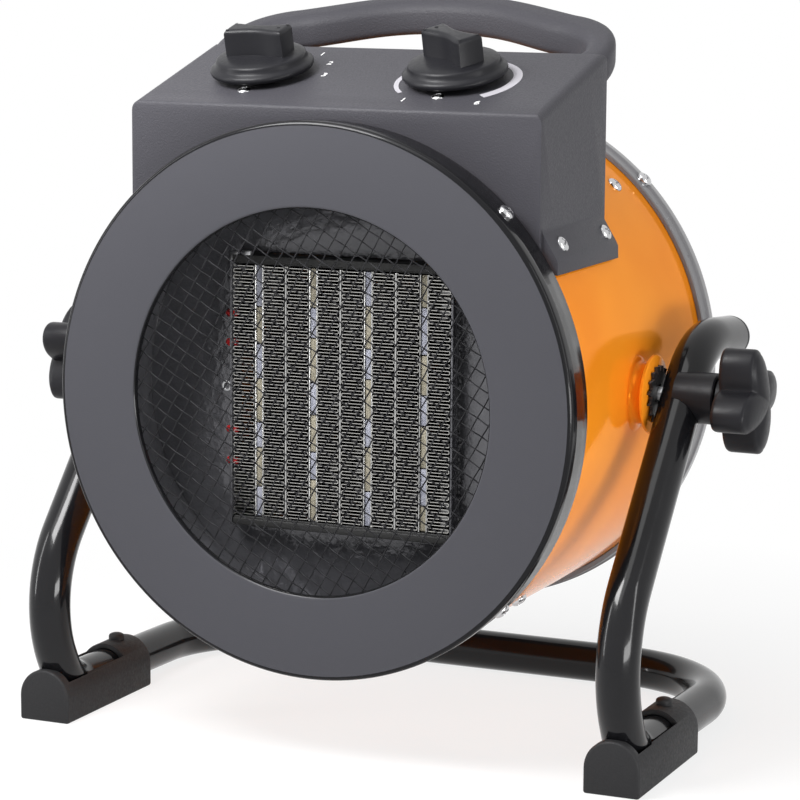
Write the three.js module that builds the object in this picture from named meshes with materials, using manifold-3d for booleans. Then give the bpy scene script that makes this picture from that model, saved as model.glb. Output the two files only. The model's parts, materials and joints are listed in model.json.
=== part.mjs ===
// Forced air heater: an orange drum with a ceramic heating element behind a wire guard,
// hung between the legs of a bent tube stand, with its controls and handle on top.
// Millimetres, +Z up. The front faces -Y, the tilt axis runs along X.
import * as THREE from 'three';
import { mergeVertices } from 'three/addons/utils/BufferGeometryUtils.js';
import Module from 'manifold-3d';

const wasm = await Module();
wasm.setup();

// ---------- driving dimensions ----------

const seat = 0.3;                   // gap left between faces that touch

// Drum and its two rims
const pivotHeight = 154.4;          // tilt axis above the floor
const drumRadius = 114.5;
const drumWall = 1.2;
const faceReach = 90;               // front rim ahead of the tilt axis
const rearReach = 97;               // rear rim behind the tilt axis
const rimSheet = 1.2;
const rimBead = 1.2;                // how far the bead stands proud of the band
const rimBeadDepth = 7;
const rimCorner = 2.5;
const frontRimDepth = 22;
const rearRimDepth = 14;
const apertureRadius = 81.7;
const intakeRadius = 88;
const apertureLip = 3;
const roundSteps = 48;              // facets round the drum

// Woven guards
const wirePitch = 22.8;
const wireWidth = 2.2;
const guardThickness = 1.4;
const guardAngle = 30;              // degrees
const guardMargin = 10;             // how far a guard reaches past its opening

// Air duct and ceramic heating element
const ductRadius = 97;
const ductWall = 1;
const elementFront = 57;            // element face ahead of the tilt axis
const elementDepth = 15;
const elementDrop = 2;              // element centre below the drum's axis
const finWidth = 10;
const finHeight = 110;
const finThickness = 0.5;
const finLeaves = 15;
const ceramicThickness = 3.8;
const stripThickness = 0.8;
const unitCount = 4;                // fin, ceramic bar and fin make one unit
const frameBar = 4;
const baffleSheet = 1.2;

// Fan
const impellerRadius = 90;
const hubRadius = 20;
const bladeCount = 6;
const bladeThickness = 1.6;
const bladePitchRoot = 38;          // degrees from the fan's plane
const bladePitchTip = 22;
const impellerDepth = 26;
const impellerFront = 22;           // hub face ahead of the tilt axis
const shaftRadius = 4;
const motorRadius = 31;
const motorLength = 42;
const bracketSheet = 2;
const bracketArmWidth = 16;

// Control housing and handle
const housingHalfWidth = 94.3;
const housingFront = 67.6;          // front wall ahead of the tilt axis
const housingRear = 8.8;            // rear wall behind the tilt axis
const housingFrontHeight = 122.4;   // front edge of the panel above the tilt axis
const panelSlope = 16.2;            // degrees, rising to the rear
const housingWall = 2.6;
const housingEdge = 4;              // rounding along the panel's sides and the handle
const tabTop = 74.2;
const tabReach = 101.6;             // widest point of the side tabs
const tabBend = 63.5;
const tabBottom = 57;
const tabInset = 2;                 // tabs stop this short of the front and rear walls
const frontEdge = 1.5;              // chamfer between the panel and the front wall
const handleThickness = 13.6;
const handleArm = 12.8;             // width of the handle's two side arms
const handleBar = 13;               // depth of its rear bar
const handleShoulder = -26;         // the handle's outline, ahead of the tilt axis
const handleKnee = -51;
const handleKneeWidth = 72.5;
const handleTip = -71.5;

// Control knobs
const knobSpacing = 90.7;           // between the two knobs' axes
const knobShift = -3.9;             // their midpoint, right of the drum's middle
const knobAhead = 31.5;             // their axes ahead of the tilt axis, measured on the level
const knobSkirtRadius = 22.6;
const knobSkirtHeight = 8;
const knobLift = 2.2;               // gap under the skirt
const knobTopHeight = 21.5;         // grip's top above the panel
const gripLength = 27;
const gripEndWidth = 12;
const gripWaist = 8;
const knobStemRadius = 4.5;
const switchSize = 30;
const switchDepth = 24;
const thermostatRadius = 17;
const thermostatDepth = 20;
const thermostatRest = -32;         // degrees its grip is turned from the function knob's
const controlRoom = 3;              // gap round the controls where they reach through the drum

// Pivot bosses, washers and clamps
const boltRadius = 4;
const bossBaseRadius = 31;
const bossWaistRadius = 20;
const bossNeckRadius = 13;
const bossDiscRadius = 18.5;
const bossDiscThickness = 1.8;
const bossNeckLength = 3;
const washerRadius = 15.5;
const washerThickness = 2;
const washerTeeth = 20;
const toothDepth = 1.4;
const spacerRadius = 11;
const spacerLength = 7.4;           // beyond the tube's outer side
const clampHubRadius = 9.5;
const clampHubLength = 2.6;
const clampThickness = 12;
const clampDome = 4;
const clampLobes = 4;
const lobeCentre = 16.6;
const lobeRadius = 6.9;
const clampBore = 10;               // how far the bolt reaches into its knob

// Stand
const tubeRadius = 9.2;
const legOffset = 134;              // leg planes left and right of the middle
const runnerHeight = 12.6;          // tube centre where it lies in the foot
const topEnd = [-66, 19.1];         // ahead of and above the tilt axis
const topCorner = [-20, 21.6];
const topBend = 42;
const bowCorner = [84.8, -96];
const bowBend = 50;
const heelAhead = 61.5;
const heelBend = 22;
const rearCross = 92;               // cross tube behind the tilt axis
const rearBend = 58;
const tubeSides = 12;
const bendStep = 15;                // degrees of bend to each facet

// Feet
const footFront = 81;               // ahead of the tilt axis
const footLength = 80;
const footWidth = 24.6;
const footHeight = 23.4;
const footWindow = [26, 60];        // opening over the bend, ahead of the tilt axis
const footPlugAt = 15;
const footPlugRadius = 5.5;
const footPlugHeight = 4;

// Small fittings
const glandRadius = 9;
const glandThread = 6;
const glandLength = 16;
const glandOffset = 62;             // right of the middle, in the housing's rear wall
const glandRise = 116;              // above the tilt axis
const cordRoom = 3.8;               // radius of the way left for a cord

// ---------- worked out from them ----------

const rad = THREE.MathUtils.degToRad;
const rimRadius = drumRadius + seat + rimSheet;
const beadRadius = rimRadius + rimBead;
const crossHeight = tubeRadius;
const pivotY = (faceReach - rearCross - tubeRadius) / 2;
const slope = rad(panelSlope);
const panelHeightAt = ahead => housingFrontHeight + Math.tan(slope) * (housingFront - ahead);
const tubeInner = legOffset - tubeRadius;
const washerOuter = tubeInner - seat;
const bossOuter = washerOuter - washerThickness - seat;
const spacerEnd = legOffset + tubeRadius + spacerLength;
const clampInner = spacerEnd + seat + clampHubLength;
const elementWidth = unitCount * (2 * finWidth + ceramicThickness + 3 * seat)
  + (unitCount - 1) * (stripThickness + seat);

const knobAt = side => side * knobSpacing / 2 + knobShift;

// ---------- helpers ----------

function finish(name, color, roughness, metalness) {
  return new THREE.MeshStandardMaterial({ name, color, roughness, metalness });
}

const finishes = {
  orange: finish('orange_paint', 0xf07a12, 0.25, 0.1),
  satin: finish('dark_grey_paint', 0x47474a, 0.6, 0.2),
  gloss: finish('black_gloss_paint', 0x0d0d0e, 0.2, 0.2),
  wire: finish('black_wire', 0x18181a, 0.4, 0.6),
  plastic: finish('black_plastic', 0x1d1d1f, 0.55, 0),
  knob: finish('black_gloss_plastic', 0x151516, 0.35, 0),
  steel: finish('zinc_steel', 0xbfc1c4, 0.3, 0.9),
  fins: finish('bare_aluminium', 0xc9c9c6, 0.35, 0.9),
  ceramic: finish('element_ceramic', 0xb9b3ad, 0.7, 0),
  rubber: finish('black_rubber', 0x1a1a1b, 0.85, 0),
};

// Closed geometry to solid: positions only, shared vertices, no slivers, faces out.
function toSolid(geometry) {
  const bare = new THREE.BufferGeometry();
  bare.setAttribute('position', geometry.getAttribute('position').clone());
  if (geometry.index) bare.setIndex(geometry.index.clone());
  const merged = mergeVertices(bare, 1e-4);
  const points = merged.getAttribute('position').array;
  const kept = [];
  let volume = 0;
  for (let i = 0; i < merged.index.count; i += 3) {
    const [a, b, c] = [0, 1, 2].map(k => merged.index.getX(i + k));
    if (a === b || b === c || c === a) continue;
    kept.push(a, b, c);
    const [p, q, r] = [a, b, c].map(k => new THREE.Vector3().fromArray(points, 3 * k));
    volume += p.dot(q.cross(r));
  }
  if (volume < 0) kept.reverse();
  return new wasm.Manifold(new wasm.Mesh({
    numProp: 3,
    vertProperties: Float32Array.from(points),
    triVerts: Uint32Array.from(kept),
  }));
}

function toGeometry(solid) {
  const { vertProperties, triVerts, numProp } = solid.getMesh();
  const positions = new Float32Array((vertProperties.length / numProp) * 3);
  for (let i = 0; i < positions.length / 3; i++) {
    for (let k = 0; k < 3; k++) positions[3 * i + k] = vertProperties[numProp * i + k];
  }
  const geometry = new THREE.BufferGeometry();
  geometry.setAttribute('position', new THREE.BufferAttribute(positions, 3));
  geometry.setIndex([...triVerts]);
  geometry.computeVertexNormals();
  return geometry;
}

const join = solids => solids.reduce((all, next) => all.add(next));
const cut = (solid, tools) => tools.reduce((left, tool) => left.subtract(tool), solid);

function moved(geometry, x, y, z) {
  return geometry.clone().translate(x, y, z);
}

function box(x0, x1, y0, y1, z0, z1) {
  const geometry = new THREE.BoxGeometry(x1 - x0, y1 - y0, z1 - z0);
  return moved(geometry, (x0 + x1) / 2, (y0 + y1) / 2, (z0 + z1) / 2);
}

// Solid of revolution about the Y axis from [radius, y] pairs that close on themselves.
function turned(profile, steps = roundSteps) {
  const points = profile.map(([r, y]) => new THREE.Vector2(r, y));
  return new THREE.LatheGeometry([...points, points[0]], steps);
}

const aboutX = geometry => geometry.clone().rotateZ(-Math.PI / 2);   // Y axis laid along +X
const aboutZ = geometry => geometry.clone().rotateX(Math.PI / 2);    // Y axis stood along +Z

function rod(radius, y0, y1, steps = 16) {
  return turned([[0, y0], [radius, y0], [radius, y1], [0, y1]], steps);
}

function extruded(shape, depth, bevel = 0, curveSegments = 10, bevelSegments = 2) {
  const options = { depth: depth - 2 * bevel, curveSegments, bevelEnabled: bevel > 0,
    bevelSize: bevel, bevelThickness: bevel, bevelOffset: -bevel, bevelSegments };
  return new THREE.ExtrudeGeometry(shape, options).translate(0, 0, bevel);
}

const polygon = points => new THREE.Shape(points.map(([x, y]) => new THREE.Vector2(x, y)));

function part(name, shape, material) {
  const geometry = shape instanceof THREE.BufferGeometry ? toGeometry(toSolid(shape))
    : toGeometry(shape);
  const mesh = new THREE.Mesh(geometry, material);
  mesh.name = name;
  return mesh;
}

// Closed solid through a row of sections with the same number of corners.
function lofted(sections) {
  const size = sections[0].length;
  const index = [];
  for (let i = 0; i < sections.length - 1; i++) {
    for (let k = 0; k < size; k++) {
      const [a, b] = [size * i + k, size * i + (k + 1) % size];
      index.push(a, b, a + size, b, b + size, a + size);
    }
  }
  const last = size * (sections.length - 1);
  for (let k = 1; k < size - 1; k++) index.push(0, k + 1, k, last, last + k, last + k + 1);
  const geometry = new THREE.BufferGeometry().setFromPoints(sections.flat());
  return geometry.setIndex(index);
}

// Sheet of even thickness that follows a line of [x, z] points with mitred folds.
function ribbon(line, thickness, y0, y1) {
  const normals = line.slice(1).map((p, i) => p.clone().sub(line[i]).normalize())
    .map(along => new THREE.Vector2(-along.y, along.x));
  return lofted(line.map((p, i) => {
    const [before, after] = [normals[Math.max(i - 1, 0)], normals[Math.min(i, normals.length - 1)]];
    const mitre = before.clone().add(after);
    mitre.multiplyScalar(thickness / mitre.lengthSq());
    const [left, right] = [p.clone().add(mitre), p.clone().sub(mitre)];
    return [[left, y0], [left, y1], [right, y1], [right, y0]]
      .map(([q, y]) => new THREE.Vector3(q.x, y, q.y));
  }));
}

// Mirrored twin across the X = 0 plane, with its faces turned back outwards.
function mirrored(geometry) {
  return geometry.clone().scale(-1, 1, 1);
}

// Tube centreline: straight runs joined by round bends at the inner corners. Its stations lie at
// the ends of each bend and evenly round it, so a sweep puts no facets along straight tube.
class BentLine extends THREE.Curve {
  constructor(corners) {
    super();
    const points = corners.map(corner => corner.point);
    const runs = points.slice(1).map((point, i) => point.clone().sub(points[i]).normalize());
    this.stations = [{ point: points[0], along: runs[0] }];
    runs.slice(1).forEach((out, i) => this.addBend(corners[i + 1], runs[i], out));
    this.stations.push({ point: points.at(-1), along: runs.at(-1) });
  }

  addBend({ point, radius }, along, out) {
    const angle = along.angleTo(out);
    const start = point.clone().addScaledVector(along, -radius * Math.tan(angle / 2));
    const inward = out.clone().addScaledVector(along, -out.dot(along)).normalize();
    const steps = Math.ceil(angle / rad(bendStep));
    for (let i = 0; i <= steps; i++) {
      const [c, s] = [Math.cos(angle * i / steps), Math.sin(angle * i / steps)];
      this.stations.push({
        point: start.clone().addScaledVector(along, radius * s)
          .addScaledVector(inward, radius * (1 - c)),
        along: along.clone().multiplyScalar(c).addScaledVector(inward, s),
      });
    }
  }

  get steps() {
    return this.stations.length - 1;
  }

  getPointAt(u, target = new THREE.Vector3()) {
    return target.copy(this.stations[Math.round(u * this.steps)].point);
  }

  getTangentAt(u, target = new THREE.Vector3()) {
    return target.copy(this.stations[Math.round(u * this.steps)].along);
  }
}

// ---------- frame of reference ----------
// Heater pieces are drawn about the tilt axis: x across, y behind it, z above it.

const heater = new THREE.Group();
heater.position.set(0, pivotY, pivotHeight);
const stand = new THREE.Group();
stand.position.set(0, pivotY, 0);
const model = new THREE.Group();
model.add(stand, heater);

const faceY = -faceReach;
const drumFrontY = faceY + rimSheet + seat;
const drumRearY = rearReach - rimSheet - seat;
const drumBody = (grow, y0, y1) => toSolid(rod(drumRadius + grow, y0, y1, roundSteps));

// ---------- drum and rims ----------

// Tube with holes for the clamp bolts and openings under the controls.
function drumShell() {
  const tube = turned([[drumRadius - drumWall, drumFrontY], [drumRadius, drumFrontY],
    [drumRadius, drumRearY], [drumRadius - drumWall, drumRearY]]);
  const boltHole = aboutX(rod(boltRadius + 1, -drumRadius - 10, drumRadius + 10));
  const room = thermostatRadius + controlRoom;
  const openings = [-1, 1].map(knobAt).map(x => toSolid(box(x - room, x + room,
    -knobAhead - room, -knobAhead + room, 50, 150)));
  return cut(toSolid(tube), [toSolid(boltHole), ...openings]);
}

// Pressed rim: flat face with a rolled inner lip, a bead at the edge and a band over the drum.
// It is drawn facing -Y from its face at y = 0.
function rimProfile(opening, depth) {
  const inside = rimRadius - rimSheet;
  return [
    [opening, apertureLip], [opening, 0], [beadRadius - rimCorner, 0], [beadRadius, rimCorner],
    [beadRadius, rimBeadDepth - rimBead], [rimRadius, rimBeadDepth], [rimRadius, depth],
    [inside, depth], [inside, rimSheet], [opening + rimSheet, rimSheet],
    [opening + rimSheet, apertureLip],
  ];
}

function frontBezel() {
  return turned(rimProfile(apertureRadius, frontRimDepth)).translate(0, faceY, 0);
}

function rearBezel() {
  const profile = rimProfile(intakeRadius, rearRimDepth).map(([r, y]) => [r, -y]);
  return turned(profile).translate(0, rearReach, 0);
}

// Flat disc pierced by square meshes, turned by the weave's angle.
function guard(opening) {
  const reach = opening + guardMargin;
  const half = (wirePitch - wireWidth) / 2;
  const count = Math.ceil(reach / wirePitch);
  const holes = [];
  for (let i = -count; i <= count; i++) {
    for (let j = -count; j <= count; j++) {
      const [x, z] = [(i + 0.5) * wirePitch, (j + 0.5) * wirePitch];
      if (Math.hypot(Math.abs(x) + half, Math.abs(z) + half) > reach - wireWidth) continue;
      const hole = box(x - half, x + half, -1, guardThickness + 1, z - half, z + half);
      holes.push(toSolid(hole.rotateY(rad(guardAngle))));
    }
  }
  return cut(toSolid(rod(reach, 0, guardThickness, 36)), holes);
}

const frontGuard = () => guard(apertureRadius).translate([0, faceY + apertureLip + seat, 0]);

const rearGuard = () => guard(intakeRadius)
  .translate([0, rearReach - apertureLip - seat - guardThickness, 0]);

// ---------- air duct and heating element ----------

const guardBack = faceY + apertureLip + 2 * seat + guardThickness;
const baffleY = -elementFront + elementDepth / 2;

// Duct wall with a flange that reaches the drum at its front edge.
function airDuct() {
  const flangeRadius = drumRadius - drumWall - seat;
  const rear = -impellerFront + impellerDepth + 4;
  return turned([
    [ductRadius - ductWall, guardBack], [flangeRadius, guardBack],
    [flangeRadius, guardBack + ductWall], [ductRadius, guardBack + ductWall],
    [ductRadius, rear], [ductRadius - ductWall, rear],
  ]);
}

// Round plate that closes the duct round the element.
function elementBaffle() {
  const radius = ductRadius - ductWall - seat;
  const plate = toSolid(rod(radius, baffleY, baffleY + baffleSheet, roundSteps));
  const halfWidth = elementWidth / 2 + seat;
  const halfHeight = finHeight / 2 + frameBar + 2 * seat;
  const window = box(-halfWidth, halfWidth, baffleY - 5, baffleY + 5,
    -elementDrop - halfHeight, -elementDrop + halfHeight);
  return plate.subtract(toSolid(window));
}

// One corrugated fin: a flat ribbon folded to and fro, as deep as the element.
function finPack(left) {
  const step = finHeight / finLeaves;
  const half = finThickness / 2;
  const middle = [];
  for (let leaf = 0; leaf < finLeaves; leaf++) {
    const z = (leaf + 0.5) * step - finHeight / 2 - elementDrop;
    const ends = [left + half, left + finWidth - half];
    if (leaf % 2) ends.reverse();
    middle.push(...ends.map(x => new THREE.Vector2(x, z)));
  }
  return ribbon(middle, finThickness, -elementFront, -elementFront + elementDepth);
}

function elementBlock(x0, x1, z0, z1, depth = elementDepth) {
  const front = -elementFront + (elementDepth - depth) / 2;
  return box(x0, x1, front, front + depth, z0 - elementDrop, z1 - elementDrop);
}

function addElement() {
  const half = finHeight / 2;
  let x = -elementWidth / 2;
  for (let unit = 1; unit <= unitCount; unit++) {
    heater.add(part(`fin_pack_${2 * unit - 1}`, finPack(x), finishes.fins));
    x += finWidth + seat;
    heater.add(part(`ceramic_bar_${unit}`, elementBlock(x, x + ceramicThickness, -half, half,
      elementDepth - 2), finishes.ceramic));
    x += ceramicThickness + seat;
    heater.add(part(`fin_pack_${2 * unit}`, finPack(x), finishes.fins));
    x += finWidth + seat;
    if (unit === unitCount) break;
    heater.add(part(`divider_strip_${unit}`, elementBlock(x, x + stripThickness, -half, half),
      finishes.fins));
    x += stripThickness + seat;
  }
  for (const [name, side] of [['element_frame_top', 1], ['element_frame_bottom', -1]]) {
    const near = side * (half + seat);
    const far = side * (half + seat + frameBar);
    heater.add(part(name, elementBlock(-elementWidth / 2, elementWidth / 2,
      Math.min(near, far), Math.max(near, far)), finishes.plastic));
  }
}

// Bimetal cut-out on a stem behind the element's top bar.
function thermalCutout() {
  const z = finHeight / 2 - elementDrop + frameBar - 10;
  const y = -elementFront + elementDepth + seat;
  const can = rod(8, y, y + 9).translate(0, 0, z);
  return can;
}

// ---------- fan ----------

const impellerY = -impellerFront;
const motorY = impellerY + impellerDepth + 3;

// Blade as a twisted loft from the hub to the tip.
function blade() {
  const sections = 5;
  const rows = [];
  for (let i = 0; i <= sections; i++) {
    const t = i / sections;
    const radius = THREE.MathUtils.lerp(hubRadius - 3, impellerRadius, t);
    const pitch = rad(THREE.MathUtils.lerp(bladePitchRoot, bladePitchTip, t));
    const depthLeft = impellerDepth - 4;
    const chord = Math.min(THREE.MathUtils.lerp(26, 56, t), depthLeft / Math.sin(pitch));
    const [c, s] = [Math.cos(pitch), Math.sin(pitch)];
    const [hx, hy] = [chord / 2 * c, chord / 2 * s];
    const [tx, ty] = [-bladeThickness / 2 * s, bladeThickness / 2 * c];
    rows.push([[hx + tx, hy + ty], [-hx + tx, -hy + ty], [-hx - tx, -hy - ty],
      [hx - tx, hy - ty]].map(([x, y]) => new THREE.Vector3(x, y, radius)));
  }
  return lofted(rows).translate(0, impellerY + impellerDepth / 2, 0);
}

function fanImpeller() {
  const hub = turned([[0, impellerY], [hubRadius - 4, impellerY], [hubRadius, impellerY + 5],
    [hubRadius, impellerY + impellerDepth], [hubRadius - 3, impellerY + impellerDepth],
    [hubRadius - 3, impellerY + impellerDepth - 5], [shaftRadius, impellerY + impellerDepth - 5],
    [shaftRadius, motorY + 10], [0, motorY + 10]], 24);
  const one = blade();
  const blades = Array.from({ length: bladeCount }, (_, i) =>
    toSolid(one.clone().rotateY(2 * Math.PI * i / bladeCount)));
  return join([toSolid(hub), ...blades]);
}

function fanMotor() {
  const can = turned([[0, motorY], [motorRadius - 6, motorY], [motorRadius, motorY + 5],
    [motorRadius, motorY + motorLength - 5], [motorRadius - 6, motorY + motorLength],
    [0, motorY + motorLength]], 24);
  const shaftHole = rod(shaftRadius + 0.5, motorY - 1, motorY + 12);
  return toSolid(can).subtract(toSolid(shaftHole));
}

// Ring round the motor with three arms that turn back to lie on the drum wall.
function motorBracket() {
  const y0 = motorY + 14;
  const inside = drumRadius - drumWall - seat;
  const ring = turned([[motorRadius + seat, y0], [motorRadius + 6, y0],
    [motorRadius + 6, y0 + bracketSheet], [motorRadius + seat, y0 + bracketSheet]], 24);
  const arms = [];
  for (const angle of [90, 210, 330]) {
    const arm = box(-bracketArmWidth / 2, bracketArmWidth / 2, y0, y0 + bracketSheet,
      motorRadius + 3, inside - bracketSheet);
    const foot = box(-bracketArmWidth / 2, bracketArmWidth / 2, y0, y0 + 18,
      inside - 2 * bracketSheet, inside - bracketSheet / 2);
    arms.push(...[arm, foot].map(g => toSolid(g.rotateY(rad(angle)))));
  }
  const inDrum = toSolid(rod(inside, y0 - 10, y0 + 40, roundSteps));
  return join([toSolid(ring), ...arms]).intersect(inDrum);
}

// ---------- control housing, handle and knobs ----------

// Puts geometry drawn on the panel (x across, y up the slope, z out of it) in the heater's frame.
function onPanel(geometry, ahead = housingFront) {
  return geometry.clone().rotateX(slope).translate(0, -ahead, panelHeightAt(ahead));
}

const slopeLength = ahead => (housingFront - ahead) / Math.cos(slope);

// Plan of the moulding on the panel's slope: a straight-sided case that runs on into a loop
// handle with a bowed rear bar.
function housingPlan() {
  const w = housingHalfWidth;
  const turn = slopeLength(handleShoulder);
  const shape = new THREE.Shape();
  shape.moveTo(-w, -20);
  shape.lineTo(w, -20);
  shape.lineTo(w, turn);
  shape.bezierCurveTo(w, turn + 14, w - 14, slopeLength(handleKnee) - 4,
    handleKneeWidth, slopeLength(handleKnee));
  shape.bezierCurveTo(handleKneeWidth - 20, slopeLength(handleKnee) + 8, 28,
    slopeLength(handleTip), 0, slopeLength(handleTip));
  shape.bezierCurveTo(-28, slopeLength(handleTip), 20 - handleKneeWidth,
    slopeLength(handleKnee) + 8, -handleKneeWidth, slopeLength(handleKnee));
  shape.bezierCurveTo(14 - w, slopeLength(handleKnee) - 4, -w, turn + 14, -w, turn);
  shape.holes.push(handleGap());
  return shape;
}

// Hand opening between the case's rear wall and the handle's bar.
function handleGap() {
  const near = slopeLength(-housingRear);
  const w = housingHalfWidth - handleArm;
  const turn = slopeLength(handleShoulder) - 2;
  const knee = slopeLength(handleKnee) - handleBar * 0.8;
  const bar = slopeLength(handleTip) - handleBar;
  const gap = new THREE.Path();
  gap.moveTo(-w, near);
  gap.lineTo(-w, turn);
  gap.bezierCurveTo(-w, turn + 10, -w + 8, knee - 4, -handleKneeWidth + 8, knee);
  gap.bezierCurveTo(-handleKneeWidth + 24, knee + 6, -28, bar, 0, bar);
  gap.bezierCurveTo(28, bar, handleKneeWidth - 24, knee + 6, handleKneeWidth - 8, knee);
  gap.bezierCurveTo(w - 8, knee - 4, w, turn + 10, w, turn);
  gap.lineTo(w, near);
  return gap;
}

// Side view of the moulding, [y, z]: case below, handle running on behind it.
function housingProfile() {
  const lift = 1;                   // clear of the panel, which the plan's own top face makes
  const rear = handleTip - 10;
  const under = handleThickness / Math.cos(slope);
  return [
    [-housingFront, tabBottom], [-housingFront, panelHeightAt(housingFront) - frontEdge],
    [-housingFront + frontEdge * 1.4, panelHeightAt(housingFront) + lift],
    [-rear, panelHeightAt(rear) + lift * 3], [-rear, panelHeightAt(rear) - under],
    [housingRear, panelHeightAt(-housingRear) - under], [housingRear, tabBottom],
  ];
}

// Room inside the case, open to the drum below.
function housingRoom() {
  const [front, rear] = [housingFront - housingWall, housingWall - housingRear];
  const drop = housingWall / Math.cos(slope);
  return alongX([[-front, 0], [-front, panelHeightAt(front) - drop],
    [-rear, panelHeightAt(rear) - drop], [-rear, 0]], housingHalfWidth - housingWall);
}

// Prism of a [y, z] outline, as wide as given to each side of the middle.
function alongX(outline, halfWidth) {
  const shape = polygon(outline.map(([y, z]) => [-z, y]));
  return extruded(shape, 2 * halfWidth).rotateY(Math.PI / 2).translate(-halfWidth, 0, 0);
}

// Side tab: the wall's lower end, flared to lie on the drum.
function sideTab() {
  const shape = polygon([[housingHalfWidth - 6, tabTop + 8], [housingHalfWidth, tabTop],
    [tabReach - 0.6, tabBend], [tabReach, tabBottom], [housingHalfWidth - 8, tabBottom]]);
  const length = housingFront + housingRear - 2 * tabInset;
  return extruded(shape, length).rotateX(Math.PI / 2)
    .translate(0, housingRear - tabInset, 0);
}

function controlHousing() {
  const deep = 110;                 // reaches from the panel to below the tabs
  const top = extruded(housingPlan(), deep, housingEdge, 5).translate(0, 0, -deep);
  const outside = toSolid(onPanel(top)).intersect(toSolid(alongX(housingProfile(), 120)));
  const tabs = [sideTab(), mirrored(sideTab())].map(toSolid);
  const stemHoles = [-1, 1].map(knobAt).map(x => onPanel(
    aboutZ(rod(knobStemRadius + 0.8, -20, 20)).translate(x, 0, 0), knobAhead));
  const glandHole = rod(glandThread + seat, -20, 20).translate(glandOffset, 0, glandRise);
  return cut(join([outside, ...tabs]), [housingRoom(), ...stemHoles, glandHole].map(toSolid))
    .subtract(drumBody(seat, -200, 200));
}

// Gland for a mains lead: thread through the rear wall, collar and tapered nose, bored through.
function cableGland() {
  const inner = housingRear - housingWall - 4;
  const collar = housingRear + seat;
  return turned([[cordRoom, inner], [glandThread, inner], [glandThread, collar],
    [glandRadius, collar], [glandRadius, collar + 4.5], [glandThread, collar + 5.5],
    [cordRoom + 1.4, collar + glandLength], [cordRoom, collar + glandLength]], 24)
    .translate(glandOffset, 0, glandRise);
}

// Knob with a dished skirt, a waisted grip bar and its stem, drawn on the panel.
function controlKnob() {
  const skirt = aboutZ(turned([[0, 0], [knobSkirtRadius - 1, 0],
    [knobSkirtRadius, 1.5], [knobSkirtRadius - 1.5, 3.5],
    [knobSkirtRadius - 8, knobSkirtHeight - 1.5], [gripLength / 2 - 1, knobSkirtHeight],
    [0, knobSkirtHeight]], 28));
  const bar = new THREE.Shape();
  const [l, e, w] = [gripLength / 2, gripEndWidth / 2, gripWaist / 2];
  bar.moveTo(-l, -e);
  bar.quadraticCurveTo(-l / 2, -e, 0, -w);
  bar.quadraticCurveTo(l / 2, -e, l, -e);
  bar.quadraticCurveTo(l + 1.5, 0, l, e);
  bar.quadraticCurveTo(l / 2, e, 0, w);
  bar.quadraticCurveTo(-l / 2, e, -l, e);
  bar.quadraticCurveTo(-l - 1.5, 0, -l, -e);
  const grip = extruded(bar, knobTopHeight - knobLift - 3, 1.2, 5, 1).translate(0, 0, 3);
  const stem = aboutZ(rod(knobStemRadius, -knobLift - housingWall - 4, 2));
  return join([toSolid(skirt), toSolid(grip), toSolid(stem)]);
}

function placedKnob(side, turn) {
  const local = toGeometry(controlKnob()).rotateZ(rad(turn))
    .translate(knobAt(side), 0, knobLift);
  return onPanel(local, knobAhead);
}

// Bodies under the panel, each bored for the knob's stem.
function underPanel(geometry, side) {
  const bore = aboutZ(rod(knobStemRadius + 0.6, -housingWall - seat - 8, 0));
  const bored = toSolid(geometry).subtract(toSolid(bore));
  return onPanel(toGeometry(bored).translate(knobAt(side), 0, 0), knobAhead);
}

const functionSwitch = () => underPanel(box(-switchSize / 2, switchSize / 2, -switchSize / 2,
  switchSize / 2, -housingWall - seat - switchDepth, -housingWall - seat), -1);

const thermostat = () => underPanel(aboutZ(rod(thermostatRadius, -housingWall - seat
  - thermostatDepth, -housingWall - seat, 24)), 1);

// Connector block standing on the drum inside the housing.
function terminalBlock() {
  const base = drumRadius + 2 * seat;
  const block = toSolid(box(-16, 16, -48, -34, drumRadius - 6, base + 10));
  return block.subtract(drumBody(seat, -90, 0));
}

// ---------- stand (drawn for the right side, y behind the tilt axis, z above the floor) ----------

const at = (x, ahead, above) => new THREE.Vector3(x, -ahead, pivotHeight + above);

function standCorners() {
  const side = x => [
    { point: at(x, ...topEnd) },
    { point: at(x, ...topCorner), radius: topBend },
    { point: at(x, ...bowCorner), radius: bowBend },
    { point: new THREE.Vector3(x, -heelAhead, runnerHeight), radius: heelBend },
    { point: new THREE.Vector3(x, rearCross, crossHeight), radius: rearBend },
  ];
  return [...side(legOffset), ...side(-legOffset).reverse()];
}

function sweptTube(radius) {
  const section = new THREE.Shape().absarc(0, 0, radius, 0, 2 * Math.PI);
  const line = new BentLine(standCorners());
  return new THREE.ExtrudeGeometry(section, { steps: line.steps, curveSegments: tubeSides / 2,
    extrudePath: line });
}

// Room for the tube in what sits on it.
const tubeChannel = toSolid(sweptTube(tubeRadius + seat));

// ---------- pivot bosses, washers and clamps (drawn for the right side) ----------

const bossHole = x1 => toSolid(aboutX(rod(boltRadius + 0.6, 60, x1 + 5)));

function pivotBoss() {
  const neckStart = bossOuter - bossDiscThickness - bossNeckLength;
  const profile = [[0, drumRadius - 20], [bossBaseRadius, drumRadius - 20],
    [bossBaseRadius, drumRadius - 3], [bossWaistRadius, neckStart],
    [bossNeckRadius, neckStart + 0.8], [bossNeckRadius, bossOuter - bossDiscThickness],
    [bossDiscRadius, bossOuter - bossDiscThickness], [bossDiscRadius, bossOuter],
    [0, bossOuter]];
  const solid = toSolid(aboutX(turned(profile, 28)));
  return cut(solid, [drumBody(seat, -120, 120), bossHole(bossOuter)]);
}

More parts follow.
